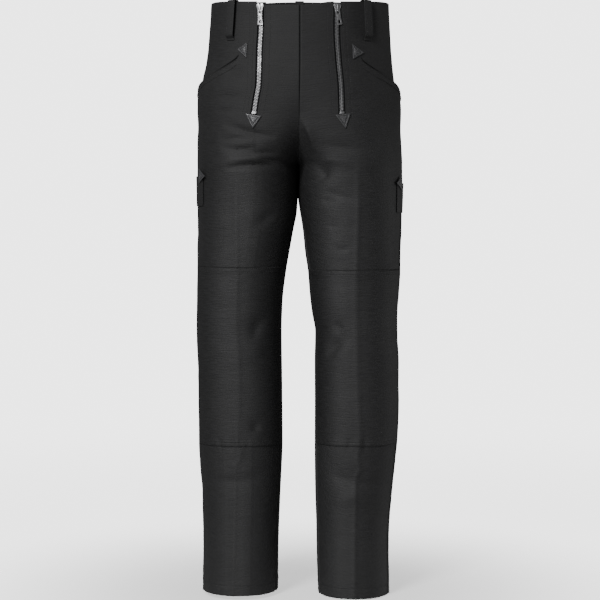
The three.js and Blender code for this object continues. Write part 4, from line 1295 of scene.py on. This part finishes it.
def slider_frame(side):
    def at(z):
        return on_zip(side, np.array(float(z)))[0]
    up = unit(at(SLIDER_Z + 1) - at(SLIDER_Z - 8))
    z = np.array(float(SLIDER_Z))
    out = outward(side, z, turn_at(side, z, zip_line[side](z)))
    inward = -unit(out - up * out.dot(up))
    across = np.cross(inward, up)
    matrix = Matrix.Identity(4)
    for column, axis in enumerate((across, inward, up, flat_zip_point(side, SLIDER_Z))):
        for row in range(3):
            matrix[row][column] = axis[row]
    return matrix


def flat_zip_point(side, height):
    z = np.array(float(height))
    return skin(side, z, turn_at(side, z, zip_line[side](z)), wavy=False)[0]


class TROUSERS_OT_zips(bpy.types.Operator):
    """Make the zips: tape, interlocking teeth, stop, slider and pull tab"""

    bl_idname = "trousers.zips"
    bl_label = "Zips"

    def execute(self, context):
        tooth = self.tooth()
        for side in SIDES:
            self.tape(side)
            self.chain(side, tooth)
            self.stop(side)
            self.slider(side)
            self.pull(side)
        return {"FINISHED"}

    def tape(self, side):
        z, across = lattice(np.linspace(waist_at_zip(side) - 1, ZIP_END - 12, 90),
                            np.linspace(-TAPE_WIDTH / 2, TAPE_WIDTH / 2, 21))
        cord = TAPE_CORD * np.exp(-((np.abs(across) - TAPE_CORD_AT) / TAPE_CORD_WIDTH) ** 2)
        points, out = on_zip(side, z, across, -BEHIND + cord)
        cloth_piece(f"zip_tape_{side}_weave", points, out, TAPE_WALL, [f"zip_tape_{side}"],
                    look=zip_tape_weave())

    def tooth(self):
        """One tooth of the +X row, along X to its head past the middle, Z out of the cloth."""
        places, widths, heights = zip(*TOOTH_FORM)
        deselect()
        bpy.ops.mesh.primitive_cube_add(size=1)
        piece = bpy.context.object
        piece.scale = (*TOOTH, CHAIN_THICK)
        piece.location = (TOOTH_MIDDLE, 0, 0)
        bpy.ops.object.transform_apply(location=True, rotation=True, scale=True)
        cross_cut(piece, *places[3:0:-1])
        points = coordinates(piece)
        points[:, 1] *= np.interp(points[:, 0], places, widths)
        points[:, 2] *= np.interp(points[:, 0], places, heights)
        move_to(piece, points)
        bevel_edges(piece, 0.16, 1, 40)
        return taken_apart(piece)

    def chain(self, side, tooth):
        pitch = bpy.context.scene.trousers_trim.tooth_pitch / MM
        z = np.linspace(waist_at_zip(side) - 3.6, ZIP_END + CHAIN_END, 400)
        lift = -BEHIND + SEAM_GAP + CHAIN_THICK / 2
        line, out = on_zip(side, z, 0.0, lift)
        travelled = travelled_along(line)
        count = int(travelled[-1] / pitch * 2)
        places = []
        for index in range(count):
            at = (index + 0.5) * travelled[-1] / count
            row = 1 if index % 2 else -1
            here, ahead = (read_along(travelled, line, where) for where in (at, at + 1))
            down = unit(ahead - here)
            across = unit(np.cross(down, read_along(travelled, out, at))) * row
            along = down * row
            places.append((here, np.stack([across, along, np.cross(across, along)])))
        piece = repeated("teeth", tooth, places)
        smooth(piece, 30)
        finish_piece(piece, f"zip_chain_{side}_teeth", plated_metal(), BODY,
                     [f"zip_chain_{side}"])

    def stop(self, side):
        z, across = lattice(np.linspace(ZIP_END + STOP_TOP, ZIP_END + STOP_BOTTOM, 7),
                            np.linspace(-STOP_WIDTH / 2, STOP_WIDTH / 2, 17))
        lift = -BEHIND + SEAM_GAP + CHAIN_THICK + 0.4
        crown = STOP_CROWN * np.cos(np.pi * across / 8)
        points, out = on_zip(side, z, across, lift - STOP_CROWN + crown)
        piece = walled_piece(points, out, STOP_WALL, 0.5, 3)
        smooth(piece, 40)
        finish_piece(piece, f"zip_stop_{side}_metal", plated_metal(), BODY,
                     [f"zip_stop_{side}"])

    def slider(self, side):
        base = outline_plate(softened(SLIDER_OUTLINE), SLIDER_SEAT, SLIDER_SEAT + SLIDER_PLATE,
                             0.45)
        raised = outline_plate([(x * 0.72, 4.6 + (z - 4.6) * 0.74) for x, z in
                                softened(SLIDER_OUTLINE)], SLIDER_SEAT + SLIDER_PLATE - 0.3,
                               SLIDER_SEAT + SLIDER_PLATE + 0.14, 0.2)
        crown = self.crown()
        piece = join([base, raised, crown])
        place_in(piece, slider_frame(side))
        smooth(piece, 35)
        finish_piece(piece, f"zip_slider_{side}_metal", plated_metal(), BODY,
                     [f"zip_slider_{side}"])

    def crown(self):
        outline = cut_round([np.array(point, float) for point in CROWN_OUTLINE], 0.2, 2)
        crown = outline_plate(outline, -CROWN_WIDTH / 2, CROWN_WIDTH / 2, 0.3)
        turned = Matrix(((0, 1, 0, 0), (-1, 0, 0, 0), (0, 0, 1, 0), (0, 0, 0, 1)))
        crown.data.transform(turned)
        return crown

    def pull(self, side):
        tab = outline_plate(softened(PULL_OUTLINE, 1), -PULL_WALL / 2, PULL_WALL / 2)
        cut_away(tab, outline_plate(softened(PULL_EYE, 1), -2, 2))
        cut_away(tab, outline_plate(softened(PULL_WINDOW, 1), -2, 2))
        bevel_edges(tab, 0.22, 2, 50)
        raised = outline_plate([(-2.1, -15.4), (2.1, -15.4), (2, -8), (-2, -8)],
                               PULL_WALL / 2 - 0.2, PULL_WALL / 2 + 0.28, 0.25)
        piece = join([tab, raised])
        hang = Matrix.Translation((0, -HINGE_OUT, HINGE_UP))
        lean = Matrix.Rotation(-SIDES[side] * math.radians(PULL_LEAN[side]), 4, "Y")
        tilt = Matrix.Rotation(math.radians(PULL_TILT), 4, "X")
        place_in(piece, slider_frame(side) @ hang @ lean @ tilt)
        smooth(piece, 35)
        finish_piece(piece, f"zip_pull_{side}_metal", plated_metal(), f"pull_tab_{side}",
                     [f"zip_pull_{side}"])


# ---------------------------------------------------------------- leather

LEATHER_WALL = 1.7
LEATHER = {
    "zip_left": ("left", [(61, -180), (87.6, -177), (79, -203.6)], 0.15),
    "zip_right": ("right", [(66.3, -181.7), (94.2, -177.3), (82, -203)], 1.0),
    "pocket_left": ("left", [(90.7, -55.7), (111.5, -70), (91.5, -82.6)], 0.3),
    "pocket_right": ("right", [(91.6, -53.3), (109.4, -64.3), (92.4, -80.6)], 0.25),
}
LEATHER_SEAT = 0.8
LEATHER_CORNER = 1.2    # how far along its sides a corner is cut off
# The rings of a triangle from its foot to its middle: the share of its size and the height.
LEATHER_RINGS = [(1, 0), (1, 0.8), (0.975, 1.3), (0.93, 1.6), (0.8, 1.7), (0.7, 1.6),
                 (0.66, 1.25), (0.62, 1), (0.57, 1), (0.53, 1.25), (0.48, 1.6), (0.4, 1.8),
                 (0.2, 2.05)]
# How rubbed it is at shares of its size.
LEATHER_WEAR = [(0, 0.7), (0.4, 0.9), (0.48, 0.5), (0.6, 0), (0.75, 0.55), (0.85, 0.7),
                (0.97, 0.8), (1, 0.2)]
RULER_LEATHER_HEIGHT, RULER_LEATHER_SEAT, RULER_LEATHER_SQUEEZE = 28, 1.0, 1.7
RULER_LEATHER_TURN = {"left": (-36, -21), "right": (-41, -26)}


class TROUSERS_OT_leather(bpy.types.Operator):
    """Make the embossed leather triangles"""

    bl_idname = "trousers.leather"
    bl_label = "Leather pieces"

    def execute(self, context):
        for name, (side, corners, rubbed) in LEATHER.items():
            def to_skin(x, z, lift, side=side):
                return skin(side, z, turn_at(side, z, x), lift)[0]
            self.triangle(f"leather_{name}", corners, to_skin, LEATHER_SEAT, rubbed)
        height, seat = RULER_LEATHER_HEIGHT, RULER_LEATHER_SEAT
        for side in SIDES:
            front, back = RULER_LEATHER_TURN[side]
            top = RULER_POCKET[side][2]
            corners = [(back, top + height / 2), (back, top - height / 2), (front, top - 1)]

            def to_side(degrees, z, lift, side=side):
                return skin(side, z, np.radians(degrees), lift)[0]
            self.triangle(f"leather_ruler_{side}", corners, to_side,
                          CLOTH + RULER_STAND + seat, 0.8, RULER_LEATHER_SQUEEZE)
        return {"FINISHED"}

    def triangle(self, node, corners, to_skin, seat, rubbed, squeeze=1.0):
        corners = np.array(corners, float) * (squeeze, 1)
        centre = corners.mean(axis=0)
        rim = []
        for i in range(3):
            before, here, after = corners[i - 1], corners[i], corners[(i + 1) % 3]
            back, on = unit(before - here), unit(after - here)
            rim += [here + back * LEATHER_CORNER, here + (back + on) * LEATHER_CORNER / 6,
                    here + on * LEATHER_CORNER]
            for t in (0.25, 0.5, 0.75):
                rim.append(lerp(here, after, t))
        rim = np.array(rim)
        deselect()
        bpy.ops.mesh.primitive_circle_add(vertices=len(rim), radius=1, fill_type="NGON")
        piece = bpy.context.object
        with editing(piece):
            for _ in LEATHER_RINGS[1:]:
                bpy.ops.mesh.extrude_region_move(TRANSFORM_OT_translate={"value": (0, 0, 1)})
        flat = coordinates(piece)
        level = np.rint(flat[:, 2]).astype(int)
        angle = np.arctan2(flat[:, 0], flat[:, 1])
        order = np.empty(len(flat), int)
        for ring in range(len(LEATHER_RINGS)):
            members = np.flatnonzero(level == ring)
            start = np.argsort(np.mod(angle[members] + 1e-4, 2 * np.pi))
            order[members[start]] = np.arange(len(members))
        scale, raised = np.array(LEATHER_RINGS)[level].T
        spot = lerp(centre, rim[order], scale[:, None])
        points = to_skin(spot[:, 0] / squeeze, spot[:, 1], seat + raised)
        move_to(piece, points * MM)
        wear = np.interp(scale, *zip(*LEATHER_WEAR)) * rubbed
        attribute = piece.data.attributes.new("rubbed", "FLOAT", "POINT")
        attribute.data.foreach_set("value", wear.astype(np.float32))
        face_outwards(piece)
        apply_modifier(piece, "SUBSURF", levels=1, render_levels=1)
        smooth(piece, 45)
        finish_piece(piece, f"{node}_embossed", embossed_leather(), BODY, [node])


# ---------------------------------------------------------------- sewing


ZIP_ROWS = {"left": (-16, -9, 11.5, 17), "right": (-17.5, -9, 12, 19.5)}
MOUTH_ROWS = (2.4, 9.5)    # distances below the mouth
KNEE_ROWS = (2.2, 8.5)     # distances in from a knee patch's top and bottom
SEAM_ROWS = (2, 8.5)       # distances in front of a seam
HEM_ROW = 18


def knee_lift(side, z):
    """How far the knee patch lifts the stitches of a seam."""
    return np.where((z < KNEE_TOP[side]) & (z > KNEE_BOTTOM), SEAM_GAP + CLOTH, 0)


class TROUSERS_OT_sewing(bpy.types.Operator):
    """Sew the rows of stitches along the zips, pockets, knees, seams and hems"""

    bl_idname = "trousers.sewing"
    bl_label = "Stitching"

    def execute(self, context):
        for side in SIDES:
            self.zip_rows(side)
            self.mouth_rows(side)
            self.knee_rows(side)
            self.seam_rows(side)
            self.hem_row(side)
        return {"FINISHED"}

    def zip_rows(self, side):
        paths = []
        for across in ZIP_ROWS[side]:
            bottom = ZIP_END - 1 if abs(across) < 13 else ZIP_END + 2
            z = np.linspace(waist_at_zip(side, across) - 2, bottom, 200)
            paths.append(on_zip(side, z, across, 0.0))
        sew(f"zip_{side}_stitching", paths)

    def mouth_rows(self, side):
        paths = []
        for below in MOUTH_ROWS:
            column = np.linspace(0.1, MOUTH_COLUMN - 0.1, 120)
            z = mouth_height(side, column) - MOUTH_CUT - below / MOUTH_ACROSS
            gape = mouth_gape(side, z * 0 + MOUTH_ROW + 1, column, z) + LIP_RISE
            paths.append(skin(side, z, front_turn(side, z, column), gape))
        sew(f"pocket_mouth_{side}_stitching", paths)

    def knee_rows(self, side):
        paths = []
        column = np.linspace(0.2, INNER_COLUMN - 0.2, 200)
        for z in (*(KNEE_TOP[side] - inset for inset in KNEE_ROWS),
                  *(KNEE_BOTTOM + inset for inset in KNEE_ROWS)):
            level = column * 0 + z
            paths.append(skin(side, level, front_turn(side, level, column),
                              SEAM_GAP + CLOTH))
        sew(f"knee_patch_{side}_stitching", paths)

    def seam_rows(self, side):
        paths = []
        top = MOUTH_OUTER_Z[side] - 12
        for distance in SEAM_ROWS:
            z = np.linspace(top, HEM[side] + 4, 500)
            turn = turn_beside(side, z, np.radians(side_seam(z)), -distance)
            gape = mouth_gape(side, z * 0 + MOUTH_ROW + 1, z * 0 + distance / 20, z)
            paths.append(skin(side, z, turn, knee_lift(side, z) + gape))
        for distance in SEAM_ROWS:
            z = np.linspace(CROTCH - 12, HEM[side] + 4, 420)
            turn = turn_beside(side, z, -np.radians(inseam(z)), distance)
            paths.append(skin(side, z, turn, knee_lift(side, z)))
        sew(f"seams_{side}_stitching", paths)

    def hem_row(self, side):
        paths = []
        for start, end in ((side_seam(HEM[side]), -inseam(HEM[side])),
                           (side_seam(HEM[side]), 360 - inseam(HEM[side]))):
            turn = np.radians(np.linspace(start, end, 200))
            level = turn * 0 + HEM[side] + HEM_ROW
            paths.append(skin(side, level, turn, 0.0))
        sew(f"hem_{side}_stitching", paths)


# ---------------------------------------------------------------- stage


CAMERA_PLACE, CAMERA_TILT, CAMERA_LENS, CAMERA_SENSOR = (0, -2.9, -0.375), 2.59, 95.8, 36
SURROUND, BACKDROP_GLOW = 0.17, 3.5
FLOOR_RADIUS, BACKDROP_RADIUS, FLOOR_Z = 7, 20, -1.0405
# Each light's place, the point it faces, its width and height, and the setting of its power.
LIGHTS = {
    "key_light": ((-1.7, -3.2, 2.1), (0, 0, -0.5), 1.1, 1.1, "key_power"),
    "fill_light": ((-1.4, -3.6, -0.65), (0, 0, -0.65), 1.0, 0.7, "fill_power"),
    "right_light": ((3.0, 0.5, -0.4), (0, 0, -0.6), 1.0, 2.2, "right_power"),
}


class TROUSERS_OT_stage(bpy.types.Operator):
    """Set up the camera, the pale floor, the backdrop and the lights"""

    bl_idname = "trousers.stage"
    bl_label = "Stage"

    def execute(self, context):
        self.camera(context.scene)
        self.floor()
        self.backdrop()
        for name, (place, aim, width, height, power) in LIGHTS.items():
            self.light(name, place, aim, width, height,
                       getattr(context.scene.trousers_stage, power))
        world = context.scene.world or bpy.data.worlds.new("studio")
        context.scene.world = world
        world.use_nodes = True
        surround = world.node_tree.nodes["Background"]
        surround.inputs["Color"].default_value = (1, 1, 1, 1)
        surround.inputs["Strength"].default_value = SURROUND
        return {"FINISHED"}

    def camera(self, scene):
        data = bpy.data.cameras.new("camera")
        data.lens, data.sensor_width = CAMERA_LENS, CAMERA_SENSOR
        data.clip_start, data.clip_end = 0.05, 100
        camera = bpy.data.objects.new("camera", data)
        scene.collection.objects.link(camera)
        camera.location = CAMERA_PLACE
        camera.rotation_euler = (math.radians(90 - CAMERA_TILT), 0, 0)
        scene.camera = camera

    def light(self, name, place, aim, width, height, power):
        deselect()
        bpy.ops.object.light_add(type="AREA", location=place)
        light = bpy.context.object
        light.name = name
        light.data.shape = "RECTANGLE"
        light.data.size, light.data.size_y = width, height
        light.data.energy = power
        way = Vector(aim) - Vector(place)
        light.rotation_euler = way.to_track_quat("-Z", "Y").to_euler()

    def floor(self):
        deselect()
        bpy.ops.mesh.primitive_circle_add(vertices=96, radius=FLOOR_RADIUS, fill_type="NGON",
                                          location=(0, 0, FLOOR_Z))
        floor = bpy.context.object
        floor.name = "floor"
        look = Look("pale_floor", Roughness=0.9, Specular_IOR_Level=0.1)
        place = look.read("ShaderNodeTexCoord", "Object")
        grain = look.noise(place, 30.0, 3.0)
        colour = bpy.context.scene.trousers_stage.floor_colour
        look.set("Base Color", look.toned(grain, colour, 0.985, 1))
        distance = look.read("ShaderNodeVectorMath", "Value", {"operation": "LENGTH"},
                             {0: place})
        # Painted shadow: the floor is opaque near the middle, where its greyer lit colour shows as a
        # dark pool under the trousers together with its real shadows, and it fades out into the
        # glowing backdrop further away.
        look.set("Alpha", distance.above(0.8, 0.15) * 0.6 + distance.above(2.6, 0.9) * 0.15)
        floor.data.materials.append(look.material)

    def backdrop(self):
        deselect()
        bpy.ops.mesh.primitive_uv_sphere_add(segments=48, ring_count=24,
                                             radius=BACKDROP_RADIUS)
        dome = bpy.context.object
        dome.name = "backdrop"
        look = Look("white_backdrop", Roughness=1.0, Specular_IOR_Level=0.0,
                    Emission_Strength=BACKDROP_GLOW)
        look.surface.inputs["Base Color"].default_value = (0, 0, 0, 1)
        look.surface.inputs["Emission Color"].default_value = (1, 1, 1, 1)
        dome.data.materials.append(look.material)
        dome.visible_diffuse = dome.visible_glossy = dome.visible_shadow = False
        dome.visible_transmission = dome.visible_volume_scatter = False
        smooth(dome, 60)


# ---------------------------------------------------------------- add-on


class TROUSERS_PT_panel(bpy.types.Panel):
    """The settings and the steps, in the order they are run."""

    bl_idname = "TROUSERS_PT_panel"
    bl_label = "Work trousers"
    bl_space_type = "VIEW_3D"
    bl_region_type = "UI"
    bl_category = "Trousers"

    def draw(self, context):
        for group in ("trousers_cloth", "trousers_trim", "trousers_stage"):
            settings = getattr(context.scene, group)
            box = self.layout.box()
            for name in settings.bl_rna.properties.keys():
                if name not in ("rna_type", "name"):
                    box.prop(settings, name)
        for step in STEPS:
            self.layout.operator(step.bl_idname)


GROUPS = {"trousers_cloth": TrousersCloth, "trousers_trim": TrousersTrim,
          "trousers_stage": TrousersStage}
STEPS = (TROUSERS_OT_stage, TROUSERS_OT_fronts, TROUSERS_OT_backs, TROUSERS_OT_patches,
         TROUSERS_OT_loops, TROUSERS_OT_zips, TROUSERS_OT_leather, TROUSERS_OT_sewing)


def register():
    for group in (*GROUPS.values(), *STEPS, TROUSERS_PT_panel):
        bpy.utils.register_class(group)
    for name, group in GROUPS.items():
        setattr(bpy.types.Scene, name, bpy.props.PointerProperty(type=group))


def unregister():
    for name in GROUPS:
        delattr(bpy.types.Scene, name)
    for group in reversed((*GROUPS.values(), *STEPS, TROUSERS_PT_panel)):
        bpy.utils.unregister_class(group)


def main():
    register()
    for step in STEPS:
        group, name = step.bl_idname.split(".")
        getattr(getattr(bpy.ops, group), name)()


if __name__ == "__main__":
    main()
